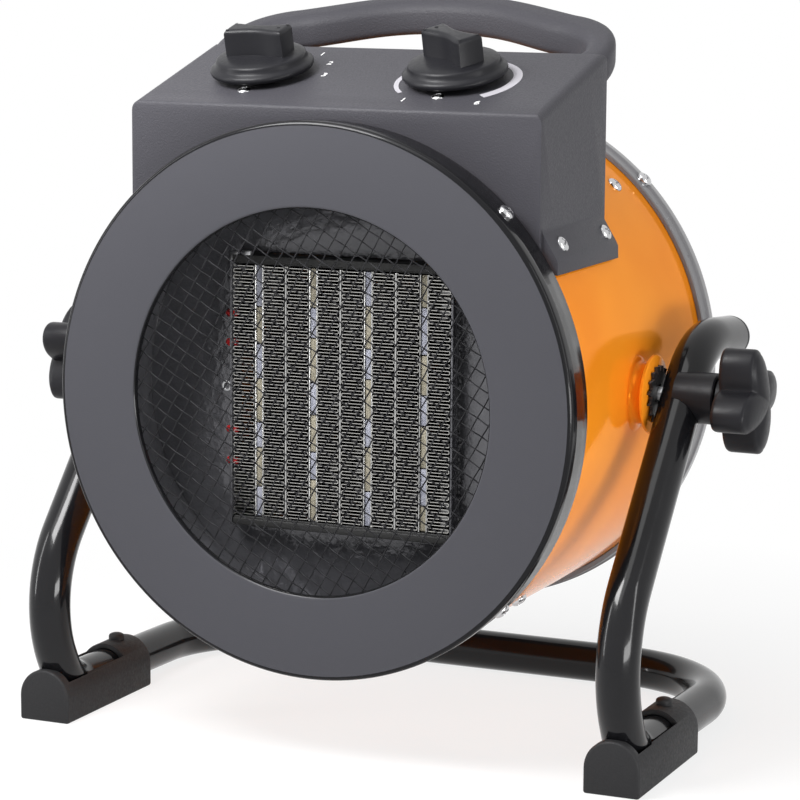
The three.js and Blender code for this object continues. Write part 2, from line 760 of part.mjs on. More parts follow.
// Toothed washer that bites when the clamp is tightened.
function toothWasher() {
  const points = [];
  for (let i = 0; i < 2 * washerTeeth; i++) {
    const radius = washerRadius - (i % 2 ? toothDepth : 0);
    const angle = Math.PI * i / washerTeeth;
    points.push([radius * Math.cos(angle), radius * Math.sin(angle)]);
  }
  const plate = extruded(polygon(points), washerThickness).rotateY(Math.PI / 2)
    .translate(washerOuter - washerThickness, 0, 0);
  return toSolid(plate).subtract(bossHole(washerOuter));
}

// Spacer outside the leg, hollowed to sit on the round tube.
function clampSpacer() {
  const bar = aboutX(rod(spacerRadius, legOffset, spacerEnd, 24));
  return cut(toSolid(bar), [tubeChannel.translate([0, 0, -pivotHeight]), bossHole(spacerEnd)]);
}

// Lobed clamp knob with a domed face.
function clampKnob() {
  const outline = [];
  const waist = lobeCentre - lobeRadius * 0.75;
  const steps = 40;
  for (let i = 0; i < steps; i++) {
    const angle = 2 * Math.PI * i / steps;
    const wave = (1 + Math.cos(clampLobes * angle)) / 2;
    const radius = THREE.MathUtils.lerp(waist, lobeCentre + lobeRadius, Math.pow(wave, 0.8));
    outline.push([radius * Math.cos(angle), radius * Math.sin(angle)]);
  }
  const reach = lobeCentre + lobeRadius;
  const body = extruded(polygon(outline), clampThickness + clampDome).rotateY(Math.PI / 2)
    .translate(clampInner, 0, 0);
  const outer = clampInner + clampThickness + clampDome;
  const dome = aboutX(turned([[0, clampInner], [reach - 2, clampInner], [reach + 0.5, clampInner + 2],
    [reach + 0.5, outer - clampDome - 2], [reach - 3, outer - clampDome + 0.5],
    [reach * 0.5, outer], [0, outer]], 24));
  const hub = aboutX(rod(clampHubRadius, spacerEnd + seat, clampInner + 1, 20));
  const bore = aboutX(rod(boltRadius + seat, spacerEnd - 5, spacerEnd + seat + clampBore));
  return join([toSolid(body).intersect(toSolid(dome)), toSolid(hub)]).subtract(toSolid(bore));
}

function clampBolt() {
  return aboutX(rod(boltRadius, drumRadius - 14, spacerEnd + clampBore));
}

function standTube() {
  const holes = [-1, 1].map(side => toSolid(aboutX(rod(boltRadius + 0.8, legOffset - 20,
    legOffset + 20)).scale(side, 1, 1).translate(0, 0, pivotHeight)));
  return cut(toSolid(sweptTube(tubeRadius)), holes);
}

// Rounded plug in the tube's top end.
function tubeCap() {
  const [end, corner] = [at(legOffset, ...topEnd), at(legOffset, ...topCorner)];
  const out = end.clone().sub(corner).normalize();
  const cap = turned([[0, seat], [tubeRadius, seat], [tubeRadius, seat + 2],
    [tubeRadius * 0.75, seat + 4.5], [0, seat + 5.5]], 12);
  cap.applyQuaternion(new THREE.Quaternion().setFromUnitVectors(new THREE.Vector3(0, 1, 0), out));
  return cap.translate(end.x, end.y, end.z);
}

// Foot: D-section shoe over the bend of the tube, open above it.
function foot() {
  const w = footWidth / 2;
  const arch = new THREE.Shape();
  arch.moveTo(-w, 0);
  arch.lineTo(w, 0);
  arch.lineTo(w, footHeight - w);
  arch.absarc(0, footHeight - w, w, 0, Math.PI);
  arch.lineTo(-w, 0);
  const shoe = extruded(arch, footLength, 1.2, 8, 1).rotateX(Math.PI / 2)
    .translate(legOffset, -footFront + footLength, 0);
  const window = box(legOffset - w * 0.72, legOffset + w * 0.72, -footWindow[1], -footWindow[0],
    runnerHeight, footHeight + 10);
  const mouth = box(legOffset - tubeRadius - 1, legOffset + tubeRadius + 1, -footFront + 5,
    -footWindow[1] + 1, runnerHeight, footHeight + 10);
  return cut(toSolid(shoe), [tubeChannel, toSolid(window), toSolid(mouth)]);
}

function footPlug() {
  const top = footHeight;
  return aboutZ(turned([[0, top + seat], [footPlugRadius, top + seat],
    [footPlugRadius, top + footPlugHeight - 1], [footPlugRadius - 1, top + footPlugHeight],
    [0, top + footPlugHeight]], 12)).translate(legOffset, -footPlugAt, 0);
}

// ---------- assembly ----------

heater.add(
  part('drum_shell', drumShell(), finishes.orange),
  part('front_bezel', frontBezel(), finishes.satin),
  part('front_guard', frontGuard(), finishes.wire),
  part('rear_bezel', rearBezel(), finishes.gloss),
  part('rear_guard', rearGuard(), finishes.wire),
  part('air_duct', airDuct(), finishes.gloss),
  part('element_baffle', elementBaffle(), finishes.gloss),
  part('thermal_cutout', thermalCutout(), finishes.steel),
  part('fan_impeller', fanImpeller(), finishes.fins),
  part('fan_motor', fanMotor(), finishes.steel),
  part('motor_bracket', motorBracket(), finishes.steel),
  part('control_housing', controlHousing(), finishes.plastic),
  part('function_knob', placedKnob(-1, 0), finishes.knob),
  part('thermostat_knob', placedKnob(1, thermostatRest), finishes.knob),
  part('function_switch', functionSwitch(), finishes.plastic),
  part('thermostat', thermostat(), finishes.steel),
  part('terminal_block', terminalBlock(), finishes.ceramic),
  part('cable_gland', cableGland(), finishes.plastic),
);
addElement();

for (const [suffix, side] of [['right', 1], ['left', -1]]) {
  const put = (name, shape, material, parent) => {
    const geometry = shape instanceof THREE.BufferGeometry ? shape : toGeometry(shape);
    parent.add(part(`${name}_${suffix}`, geometry.clone().scale(side, 1, 1), material));
  };
  put('pivot_boss', pivotBoss(), finishes.orange, heater);
  put('tooth_washer', toothWasher(), finishes.wire, heater);
  put('clamp_spacer', clampSpacer(), finishes.plastic, heater);
  put('clamp_knob', clampKnob(), finishes.knob, heater);
  put('clamp_bolt', clampBolt(), finishes.steel, heater);
  put('foot', foot(), finishes.rubber, stand);
  put('foot_plug', footPlug(), finishes.rubber, stand);
  put('tube_cap', tubeCap(), finishes.plastic, stand);
}
stand.add(part('stand_tube', standTube(), finishes.gloss));

export default model;
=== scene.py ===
# Forced air heater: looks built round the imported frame.
import bpy
import json
import math
from mathutils import Matrix, Vector


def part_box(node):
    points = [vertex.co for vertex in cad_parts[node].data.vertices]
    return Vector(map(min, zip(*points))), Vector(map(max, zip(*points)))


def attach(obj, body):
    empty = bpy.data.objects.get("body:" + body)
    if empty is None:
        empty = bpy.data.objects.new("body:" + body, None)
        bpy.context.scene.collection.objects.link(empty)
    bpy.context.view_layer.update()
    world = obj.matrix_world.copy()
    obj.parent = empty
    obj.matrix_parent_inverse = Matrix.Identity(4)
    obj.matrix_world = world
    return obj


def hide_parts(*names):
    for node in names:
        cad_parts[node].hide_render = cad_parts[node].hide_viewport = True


mm = 0.001
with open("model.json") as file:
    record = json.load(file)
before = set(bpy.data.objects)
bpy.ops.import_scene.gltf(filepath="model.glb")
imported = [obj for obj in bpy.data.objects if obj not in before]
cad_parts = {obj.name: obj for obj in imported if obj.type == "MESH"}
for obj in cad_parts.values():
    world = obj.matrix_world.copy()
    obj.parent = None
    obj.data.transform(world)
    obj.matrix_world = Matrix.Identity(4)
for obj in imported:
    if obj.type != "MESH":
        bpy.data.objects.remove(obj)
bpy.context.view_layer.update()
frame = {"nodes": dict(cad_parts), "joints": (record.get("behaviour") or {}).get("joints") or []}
joints = {joint["name"]: joint for joint in frame["joints"]}
pivot = Vector(joints["heater_tilt"]["pos_m"])  # the drum's axis crosses the tilt axis here
print("frame loaded")


def dropAll():
    if bpy.context.object and bpy.context.object.mode != "OBJECT":
        bpy.ops.object.mode_set(mode="OBJECT")
    bpy.ops.object.select_all(action="DESELECT")


def pick(obj):
    dropAll()
    obj.select_set(True)
    bpy.context.view_layer.objects.active = obj


def openEdit(obj):
    pick(obj)
    bpy.ops.object.mode_set(mode="EDIT")
    bpy.ops.mesh.select_all(action="SELECT")


def closeEdit():
    bpy.ops.object.mode_set(mode="OBJECT")


def weld(obj, gap=0.002 * mm):
    openEdit(obj)
    bpy.ops.mesh.remove_doubles(threshold=gap)
    bpy.ops.mesh.normals_make_consistent(inside=False)
    closeEdit()
    return obj


def place(obj, spot, turn=(0, 0, 0)):  # puts place and turn into the mesh
    pick(obj)
    obj.location = Vector(spot)
    obj.rotation_euler = [math.radians(angle) for angle in turn]
    bpy.ops.object.transform_apply(location=True, rotation=True, scale=True)
    return obj


def applyModifier(obj, kind, **settings):
    pick(obj)
    modifier = obj.modifiers.new(kind.title(), kind)
    for key, value in settings.items():
        setattr(modifier, key, value)
    bpy.ops.object.modifier_apply(modifier=modifier.name)
    return obj


def carve(obj, tool, how="DIFFERENCE"):
    applyModifier(obj, "BOOLEAN", object=tool, operation=how, solver="EXACT")
    bpy.data.objects.remove(tool)
    return obj


def soften(obj, width, segments, angle):
    return applyModifier(obj, "BEVEL", width=width, segments=segments, limit_method="ANGLE",
                         angle_limit=math.radians(angle))


def smooth(obj, angle=35):
    pick(obj)
    bpy.ops.object.shade_smooth_by_angle(angle=math.radians(angle))
    return obj


def fresh(name):  # names the primitive that was just added
    bpy.context.object.name = name
    return bpy.context.object


def newObject(name, data):
    obj = bpy.data.objects.new(name, data)
    bpy.context.scene.collection.objects.link(obj)
    return obj


def meshFromCurve(name, curve):
    pick(newObject(name, curve))
    bpy.ops.object.convert(target="MESH")
    return bpy.context.object


def shift(obj, spot):  # moves the mesh and leaves the object
    obj.data.transform(Matrix.Translation(Vector(spot)))
    return obj


def turnTo(direction):  # turns local Z to a direction
    return Vector((0, 0, 1)).rotation_difference(Vector(direction)).to_matrix().to_4x4()


def copyOf(obj, name, away=(0, 0, 0)):  # with the rides of the first
    twin = obj.copy()
    twin.data = obj.data.copy()
    twin.name = name
    bpy.context.scene.collection.objects.link(twin)
    return shift(twin, away)


def flipAcross(obj):  # to the other side, faces still outwards
    obj.data.transform(Matrix.Scale(-1, 4, (1, 0, 0)))
    obj.data.flip_normals()
    return obj


def joinUp(pieces, name):
    dropAll()
    for piece in pieces:
        piece.select_set(True)
    bpy.context.view_layer.objects.active = pieces[0]
    if len(pieces) > 1:
        bpy.ops.object.join()
    pieces[0].name = name
    return pieces[0]


def dress(obj, finish, slotName, body, *nodes):
    if finish:
        obj.data.materials.clear()
        obj.data.materials.append(finishes[finish])
    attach(obj, body)
    if nodes:
        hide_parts(*nodes)


def arcPoints(centre, radius, start, end, count):  # degrees, from the first coordinate's axis
    angles = [math.radians(start + (end - start) * i / count) for i in range(count + 1)]
    return [(centre[0] + radius * math.cos(a), centre[1] + radius * math.sin(a)) for a in angles]


def domeRings(radius, low, high, angles):  # a round top from a low to a high ring
    return [(radius * math.cos(a), low + (high - low) * math.sin(a))
            for a in map(math.radians, angles)]


def raiseRings(rings):  # (radius, height) in millimetres
    for (radius, height), (nextRadius, nextHeight) in zip(rings, rings[1:]):
        bpy.ops.mesh.extrude_edges_move(
            TRANSFORM_OT_translate={"value": (0, 0, (nextHeight - height) * mm)})
        scale = nextRadius / radius
        bpy.ops.transform.resize(value=(scale, scale, 1), center_override=(0, 0, nextHeight * mm))


def raiseSolid(rings):  # the same, closed at both ends
    bpy.ops.mesh.edge_face_add()
    bpy.ops.mesh.select_mode(type="EDGE")
    raiseRings(rings)
    bpy.ops.mesh.edge_face_add()


# A round piece about local Z: a circle is extruded and scaled ring by ring.
def turnedPiece(name, rings, sides, closed=False):
    dropAll()
    radius, height = rings[0]
    bpy.ops.mesh.primitive_circle_add(vertices=sides, radius=radius * mm)
    obj = fresh(name)
    openEdit(obj)
    bpy.ops.transform.translate(value=(0, 0, height * mm))
    if closed:
        raiseRings(rings + rings[:1])
    else:
        raiseSolid(rings)
    bpy.ops.mesh.select_mode(type="VERT")
    closeEdit()
    return weld(obj)


# A flat outline of corner points is filled and extruded along local Z.
def platePiece(name, outline, low, high):
    dropAll()
    bpy.ops.mesh.primitive_circle_add(vertices=len(outline), radius=mm)
    obj = fresh(name)
    for vertex, (x, y) in zip(obj.data.vertices, outline):
        vertex.co = (x * mm, y * mm, low * mm)
    openEdit(obj)
    bpy.ops.mesh.edge_face_add()
    bpy.ops.mesh.extrude_region_move(
        TRANSFORM_OT_translate={"value": (0, 0, (high - low) * mm)})
    bpy.ops.mesh.select_all(action="SELECT")
    bpy.ops.mesh.normals_make_consistent(inside=False)
    closeEdit()
    return obj


swapYZ = Matrix(((1, 0, 0, 0), (0, 0, 1, 0), (0, 1, 0, 0), (0, 0, 0, 1)))


def blockPiece(name, low, high):  # a box between two corners, in metres
    dropAll()
    low, high = Vector(low), Vector(high)
    bpy.ops.mesh.primitive_cube_add(size=1, location=(low + high) / 2)
    obj = fresh(name)
    obj.scale = high - low
    return place(obj, obj.location)


# Round wire or tube along one or more lines of points, in metres.
def wirePiece(name, lines, radius, sides, caps=True):
    curve = bpy.data.curves.new(name, "CURVE")
    curve.dimensions = "3D"
    curve.bevel_depth = radius
    curve.bevel_resolution = max(0, sides // 2 - 2)
    curve.use_fill_caps = caps
    for line in lines:
        spline = curve.splines.new("POLY")
        spline.points.add(len(line) - 1)
        for point, spot in zip(spline.points, line):
            point.co = (*spot, 1)
    return weld(meshFromCurve(name, curve))


# Straight runs between corners, joined by round bends.
def bentLine(corners, step):
    points = [Vector(corners[0][0])]
    for (before, _), (corner, radius), (after, _) in zip(corners, corners[1:], corners[2:]):
        corner = Vector(corner)
        into = (corner - Vector(before)).normalized()
        out = (Vector(after) - corner).normalized()
        angle = into.angle(out)
        start = corner - into * radius * math.tan(angle / 2)
        inward = (out - into * out.dot(into)).normalized()
        count = max(2, math.ceil(math.degrees(angle) / step))
        for i in range(count + 1):
            a = angle * i / count
            points.append(start + into * radius * math.sin(a)
                          + inward * radius * (1 - math.cos(a)))
    return points + [Vector(corners[-1][0])]


def addNode(tree, kind, values=()):  # values are (socket, value)
    node = tree.nodes.new("ShaderNode" + kind)
    for socket, value in values:
        node.inputs[socket].default_value = value
    return node


def addRange(tree, start, end, low=0.0, high=1.0):  # start to end becomes low to high
    return addNode(tree, "MapRange", [("From Min", start), ("From Max", end), ("To Min", low),
                                      ("To Max", high)])


def newFinish(name, colour, roughness, metallic=0.0, coat=0.0, coatRoughness=0.04, specular=0.5):
    material = bpy.data.materials.new(name)
    material.use_nodes = True
    shader = material.node_tree.nodes["Principled BSDF"]
    shader.inputs["Base Color"].default_value = (*colour, 1)
    shader.inputs["Roughness"].default_value = roughness
    shader.inputs["Metallic"].default_value = metallic
    shader.inputs["Coat Weight"].default_value = coat
    shader.inputs["Coat Roughness"].default_value = coatRoughness
    shader.inputs["Specular IOR Level"].default_value = specular
    return material


def toShader(material, output, socket):
    tree = material.node_tree
    tree.links.new(output, tree.nodes["Principled BSDF"].inputs[socket])


def noiseOn(material, scale, detail, stretch=(1, 1, 1)):
    tree = material.node_tree
    coordinates = addNode(tree, "TexCoord")
    mapping = addNode(tree, "Mapping", [("Scale", stretch)])
    noise = addNode(tree, "TexNoise", [("Scale", scale), ("Detail", detail)])
    tree.links.new(coordinates.outputs["Object"], mapping.inputs["Vector"])
    tree.links.new(mapping.outputs["Vector"], noise.inputs["Vector"])
    return noise


def spread(material, noise, low, high):  # noise to a range of roughness
    tree = material.node_tree
    share = addRange(tree, 0.3, 0.7, low, high)
    tree.links.new(noise.outputs["Fac"], share.inputs["Value"])
    toShader(material, share.outputs["Result"], "Roughness")


def tint(material, source, low, high, start=0.35, end=0.65, output="Fac"):
    ramp = addNode(material.node_tree, "ValToRGB")
    first, last = ramp.color_ramp.elements
    first.position, last.position = start, end
    first.color, last.color = (*low, 1), (*high, 1)
    material.node_tree.links.new(source.outputs[output], ramp.inputs["Fac"])
    toShader(material, ramp.outputs["Color"], "Base Color")


def bump(material, noise, strength, distance, coatToo=False):
    tree = material.node_tree
    relief = addNode(tree, "Bump", [("Strength", strength), ("Distance", distance)])
    tree.links.new(noise.outputs["Fac"], relief.inputs["Height"])
    toShader(material, relief.outputs["Normal"], "Normal")
    if coatToo:
        toShader(material, relief.outputs["Normal"], "Coat Normal")


# A finish whose grain carries its colour, its roughness or its relief.
def grainFinish(name, colour, roughness, grain, tints=None, rough=None, relief=None, **more):
    material = newFinish(name, colour, roughness, **more)
    noise = noiseOn(material, *grain)
    if tints:
        tint(material, noise, *tints)
    if rough:
        spread(material, noise, *rough)
    if relief:
        bump(material, noise, *relief)
    return material


def orangePaint():  # even colour under a faint orange peel
    material = grainFinish("orangePaint", (0.84, 0.26, 0.013), 0.1, (14, 2), metallic=0.15,
                           specular=0.03, tints=((0.80, 0.235, 0.010), (0.88, 0.29, 0.018)))
    shader = material.node_tree.nodes["Principled BSDF"]
    shader.inputs["Specular Tint"].default_value = (1.0, 0.72, 0.38, 1)
    bump(material, noiseOn(material, 420, 2), 0.05, 0.0004)
    return material


# Painted shade between the leaves: bright where the sheet's front edge shows, darkening to near
# black with depth behind it.
def finAluminiumPaintedShade():
    material = grainFinish("finAluminiumPaintedShade", (0.6, 0.59, 0.56), 0.3, (240, 3, (1, 1, 4)),
                           rough=(0.22, 0.4), metallic=1.0)
    tree, face, bright, shadedDepth = material.node_tree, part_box("fin_pack_1")[0].y, 0.15 * mm, 1.2 * mm
    coordinates, split = addNode(tree, "TexCoord"), addNode(tree, "SeparateXYZ")
    depth = addRange(tree, face + bright, face + shadedDepth)
    tree.links.new(coordinates.outputs["Object"], split.inputs["Vector"])
    tree.links.new(split.outputs["Y"], depth.inputs["Value"])
    # painted shade: light aluminium grey at the front edge, near black deeper between the leaves
    tint(material, depth, (0.68, 0.67, 0.64), (0.09, 0.088, 0.084), 0, 1, "Result")
    return material


def glossBlack(name, coat, specular):
    return grainFinish(name, (0.006, 0.006, 0.007), 0.18, (60, 2), rough=(0.13, 0.24),
                       relief=(0.04, 0.001, True), coat=coat, specular=specular)


def ceramic(name, dark, light):
    return grainFinish(name, dark, 0.55, (350, 4), tints=(dark, light), relief=(0.2, 0.0003),
                       specular=0.4)


def printInk(name, colour):
    return grainFinish(name, colour, 0.5, (1500, 2), rough=(0.42, 0.6), specular=0.4)


finishes = {
    "orange": orangePaint(),
    "satin": grainFinish("satinGrey", (0.048, 0.048, 0.055), 0.5, (1600, 2), rough=(0.46, 0.56),
                         relief=(0.12, 0.0003), specular=0.12),
    "gloss": glossBlack("glossBlack", 0.25, 0.15),
    "rimBand": glossBlack("rimBand", 0.15, 0.1),
    "rearPaint": grainFinish("rearPaint", (0.11, 0.108, 0.115), 0.3, (60, 2), rough=(0.24, 0.36),
                             relief=(0.04, 0.001, True), coat=0.6, coatRoughness=0.08),
    "duct": grainFinish("ductBlack", (0.11, 0.11, 0.12), 0.24, (90, 4), relief=(0.5, 0.004),
                        metallic=0.4, coat=0.3),
    "wire": grainFinish("guardWire", (0.012, 0.012, 0.013), 0.55, (300, 3), specular=0.1,
                        tints=((0.008, 0.008, 0.009), (0.02, 0.02, 0.022))),
    "housing": grainFinish("housingPlastic", (0.044, 0.043, 0.050), 0.42, (1300, 3),
                           rough=(0.4, 0.55), relief=(0.35, 0.0005), specular=0.16),
    "knob": grainFinish("knobPlastic", (0.010, 0.010, 0.012), 0.38, (500, 2),
                        rough=(0.32, 0.42), relief=(0.06, 0.0004), specular=0.17),
    "framePlastic": grainFinish("framePlastic", (0.02, 0.02, 0.02), 0.6, (700, 3),
                                relief=(0.3, 0.0004), specular=0.4),
    "fins": finAluminiumPaintedShade(),
    "strip": grainFinish("stripAluminium", (0.6, 0.6, 0.59), 0.3, (400, 3, (1, 1, 0.1)),
                         rough=(0.22, 0.4), relief=(0.1, 0.0003), metallic=1.0),
    "ceramicCool": ceramic("ceramicCool", (0.26, 0.27, 0.33), (0.36, 0.37, 0.43)),
    "ceramicWarm": ceramic("ceramicWarm", (0.25, 0.23, 0.17), (0.34, 0.31, 0.24)),
    "zinc": grainFinish("zincSteel", (0.62, 0.62, 0.64), 0.3, (180, 4), rough=(0.24, 0.4),
                        tints=((0.5, 0.51, 0.53), (0.72, 0.72, 0.72)), metallic=1.0),
    "chrome": grainFinish("screwChrome", (0.55, 0.55, 0.56), 0.14, (500, 2), rough=(0.1, 0.24),
                          metallic=1.0),
    "blackSteel": grainFinish("blackSteel", (0.035, 0.033, 0.034), 0.35, (600, 3),
                              rough=(0.28, 0.5), relief=(0.2, 0.0004), metallic=0.6),
    "rubber": grainFinish("footRubber", (0.013, 0.013, 0.014), 0.6, (900, 3), rough=(0.52, 0.7),
                          relief=(0.25, 0.0004), specular=0.25),
    "red": grainFinish("siliconeRed", (0.36, 0.008, 0.01), 0.38, (500, 2),
                       tints=((0.28, 0.005, 0.008), (0.42, 0.012, 0.012))),
    "ink": printInk("dialInk", (0.36, 0.35, 0.38)),
    "white": printInk("whiteInk", (0.75, 0.75, 0.75)),
}
print("finishes ready")


# The drum's pieces are turned about its axis, with heights ahead of the tilt axis.
facingFront = (90, 0, 0)  # local Z laid along the way the air blows
facingRear = (-90, 0, 0)
drumSet = {"radius": 114.5, "wall": 1.2, "front": 88.5, "rear": -95.5, "sides": 192}


def makeDrum():
    s = drumSet
    inner = s["radius"] - s["wall"]
    rings = [(inner, s["front"]), (s["radius"], s["front"]), (s["radius"], s["rear"]),
             (inner, s["rear"])]
    drum = place(turnedPiece("drumShell", rings, s["sides"], closed=True), pivot, facingFront)
    dress(smooth(drum), "orange", "shell_paint", "heater", "drum_shell")


rimSet = {"band": 117.0, "bead": 118.0, "beadDepth": 7.0, "beadBack": 1.2, "corner": 2.0,
          "sheet": 1.2, "lipRadius": 1.6, "lip": 3.0, "turnIn": 114.8, "bend": 0.8, "sides": 192}
frontRimSet = {"opening": 81.7, "depth": 21.0, "reach": 90.0}
rearRimSet = {"opening": 88.0, "depth": 13.0, "reach": 97.0}


def rimRings(opening, depth):  # heights are behind the rim's face
    s = rimSet
    lip, back = s["lipRadius"], s["beadBack"]
    rings = [(opening, -s["lip"])]
    rings += arcPoints((opening + lip, -lip), lip, 180, 90, 5)
    rings += arcPoints((s["bead"] - s["corner"], -s["corner"]), s["corner"], 90, 0, 8)
    rings += [(s["bead"], 2 - s["beadDepth"])]
    rings += arcPoints((s["bead"] - back, back - s["beadDepth"]), back, 0, -60, 3)
    rings += [(s["band"], -s["beadDepth"] - back / 2)]
    rings += arcPoints((s["band"] - s["bend"], s["bend"] - depth), s["bend"], 0, -90, 4)
    inside, end = s["band"] - s["sheet"], s["sheet"] - depth
    rings += [(s["turnIn"], -depth), (s["turnIn"], end), (inside, end), (inside, -s["sheet"]),
              (opening + s["sheet"], -s["sheet"]), (opening + s["sheet"], -s["lip"])]
    return rings


def makeRim(name, values, turn, band, face, slotName, node):
    rim = turnedPiece(name, rimRings(values["opening"], values["depth"]), rimSet["sides"],
                      closed=True)
    rim.data.materials.append(finishes[band])
    rim.data.materials.append(finishes[face])
    edge = (rimSet["bead"] - rimSet["corner"] + 0.1) * mm
    for polygon in rim.data.polygons:  # the flat face has its own duller paint
        centre = polygon.center
        onFace = polygon.normal.z > 0.75 and centre.xy.length < edge
        polygon.material_index = 1 if onFace and centre.z > -0.5 * mm else 0
    shift(rim, (0, 0, values["reach"] * mm))
    place(rim, pivot, turn)
    smooth(rim, 50)
    dress(rim, None, slotName, "heater", node)


makeDrum()
makeRim("frontRim", frontRimSet, facingFront, "rimBand", "satin", "rim_paint", "front_bezel")
makeRim("rearRim", rearRimSet, facingRear, "rearPaint", "rearPaint", "black_gloss_paint",
        "rear_bezel")
print("drum and rims done")


guardSet = {"pitch": 5.7, "wire": 0.3, "wave": 0.32, "angle": -30, "margin": 8.4,
            "stepsPerPitch": 4, "ring": 1.0, "ringWidth": 1.6, "front": 86.0, "rear": -93.0}


def wovenLines(reach):
    s = guardSet
    count = int(reach / s["pitch"])
    lines = []
    for way in (0, 1):
        for i in range(-count, count + 1):
            across = (i + 0.5) * s["pitch"]
            if abs(across) > reach - 2:
                continue
            half = math.sqrt(reach ** 2 - across ** 2)
            step = s["pitch"] / s["stepsPerPitch"]
            number = int(half / step)
            line = []
            for k in range(-number, number + 1):
                along = k * step
                phase = math.pi * (along / s["pitch"] - 0.5)
                side = 1 if (i + way) % 2 == 0 else -1
                lift = side * s["wave"] * math.cos(phase)
                spot = (along, across, lift) if way == 0 else (across, along, lift)
                line.append(Vector(spot) * mm)
            lines.append(line)
    return lines


def makeGuard(name, opening, ahead, node):
    s = guardSet
    reach, half = opening + s["margin"], s["ring"] / 2
    outside = reach + s["ringWidth"]
    mesh = wirePiece(name, wovenLines(reach), s["wire"] * mm, sides=6, caps=False)
    mesh.data.transform(Matrix.Rotation(math.radians(s["angle"]), 4, "Z"))
    ring = turnedPiece(name + "Ring", [(reach, -half), (outside, -half), (outside, half),
                                       (reach, half)], 96, closed=True)
    guard = shift(joinUp([mesh, ring], name), (0, 0, ahead * mm))
    place(guard, pivot, facingFront)
    smooth(guard, 60)
    dress(guard, "wire", "guard_wire", "heater", node)


makeGuard("frontGuard", frontRimSet["opening"], guardSet["front"], "front_guard")
makeGuard("rearGuard", rearRimSet["opening"], guardSet["rear"], "rear_guard")
print("guards woven")


ductSet = {"radius": 97.0, "wall": 1.0, "front": 84.9, "rear": -8.0, "flange": 112.9,
           "flare": 1.5, "flareMiddle": 0.4}


def makeDuct():
    s = ductSet
    front, flare, middle = s["front"], s["flare"], s["flareMiddle"]
    inner, back = s["radius"] - s["wall"], front - s["wall"]
    rings = [(inner, s["rear"]), (inner, front - flare), (inner + middle, front - middle),
             (inner + flare, front), (s["flange"], front), (s["flange"], back),
             (s["radius"] + 1, back), (s["radius"], back - 1), (s["radius"], s["rear"])]
    duct = place(turnedPiece("airDuct", rings, 144, closed=True), pivot, facingFront)
    dress(smooth(duct), "duct", "black_gloss_paint", "heater", "air_duct")


baffleSet = {"radius": 95.7, "ahead": 49.5, "sheet": 1.2, "flange": 7.0, "flangeWall": 1.0,
             "gap": 0.4}


def makeBaffle():
    s = baffleSet
    low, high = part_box("element_frame_bottom")[0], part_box("element_frame_top")[1]
    plate = turnedPiece("elementBaffle", [(s["radius"], -s["sheet"]), (s["radius"], 0)], 144)
    place(shift(plate, (0, 0, s["ahead"] * mm)), pivot, facingFront)
    gap, wall = Vector((s["gap"] * mm, 1, s["gap"] * mm)), s["flangeWall"] * mm
    carve(plate, blockPiece("window", low - gap, high + gap))
    front = low.y - wall
    flanges = []  # folded from the element's two sides
    for inner in (low.x - gap.x - wall, high.x + gap.x):
        flanges.append(blockPiece("flange", (inner, front, low.z - gap.z),
                                  (inner + wall, front + s["flange"] * mm, high.z + gap.z)))
    baffle = joinUp([plate] + flanges, "elementBaffle")
    soften(baffle, 0.3 * mm, 2, 50)
    smooth(baffle)
    dress(baffle, "duct", "black_gloss_paint", "heater", "element_baffle")


finSet = {"leafPitch": 1.4, "sheet": 0.28, "fold": 0.28, "count": 8}


def foldedFin(node, name):  # one ribbon folded to and fro
    low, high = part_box(node)
    low.z, high.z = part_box("ceramic_bar_1")[0].z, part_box("ceramic_bar_1")[1].z
    pitch, sheet = finSet["leafPitch"] * mm, finSet["sheet"] * mm
    leaves = int((high.z - low.z) / pitch)
    pitch = (high.z - low.z) / leaves
    turn = pitch * finSet["fold"]
    dropAll()
    bpy.ops.mesh.primitive_plane_add(size=1)
    fin = fresh(name)
    left, right = low.x + sheet / 2, high.x - sheet / 2
    spots = [(left, low.z)]
    for leaf in range(leaves):
        z = low.z + (leaf + 0.5) * pitch
        near, far = (left, right) if leaf % 2 == 0 else (right, left)
        inward = turn if far > near else -turn
        spots += [(near, z - pitch / 2 + turn), (near + inward, z),
                  (far - inward, z), (far, z + pitch / 2 - turn)]
    spots.append((spots[-1][0], high.z))
    openEdit(fin)
    bpy.ops.mesh.delete(type="ONLY_FACE")
    bpy.ops.mesh.select_all(action="DESELECT")
    closeEdit()
    corners = [(spots[0][0], low.y, spots[0][1]), (spots[0][0], high.y, spots[0][1])]
    for vertex, corner in zip(fin.data.vertices, corners + corners):
        vertex.co = corner
    openEdit(fin)
    bpy.ops.mesh.remove_doubles(threshold=0.001 * mm)
    bpy.ops.mesh.select_mode(type="EDGE")
    bpy.ops.mesh.select_all(action="SELECT")
    for (x0, z0), (x1, z1) in zip(spots, spots[1:]):
        bpy.ops.mesh.extrude_edges_move(TRANSFORM_OT_translate={"value": (x1 - x0, 0, z1 - z0)})
    bpy.ops.mesh.select_mode(type="VERT")
    closeEdit()
    applyModifier(fin, "SOLIDIFY", thickness=sheet, offset=0)
    return weld(fin)


def makeFins():
    first = smooth(foldedFin("fin_pack_1", "foldedFin1"), 50)
    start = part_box("fin_pack_1")[0]
    for i in range(1, finSet["count"] + 1):
        node = f"fin_pack_{i}"
        fin = first if i == 1 else copyOf(first, f"foldedFin{i}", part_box(node)[0] - start)
        dress(fin, "fins", "bare_aluminium", "heater", node)


# Ceramic stones between two contact strips, in uneven heights, cool and warm ones in turn.
stoneSet = {"heights": [[13, 17, 11, 19, 15, 16, 18], [18, 12, 16, 14, 19, 13, 17],
                        [15, 19, 12, 17, 13, 18, 15], [11, 16, 18, 13, 17, 20, 14]],
            "gap": 0.5, "strip": 0.45, "stripOut": 0.1, "recess": 0.8}


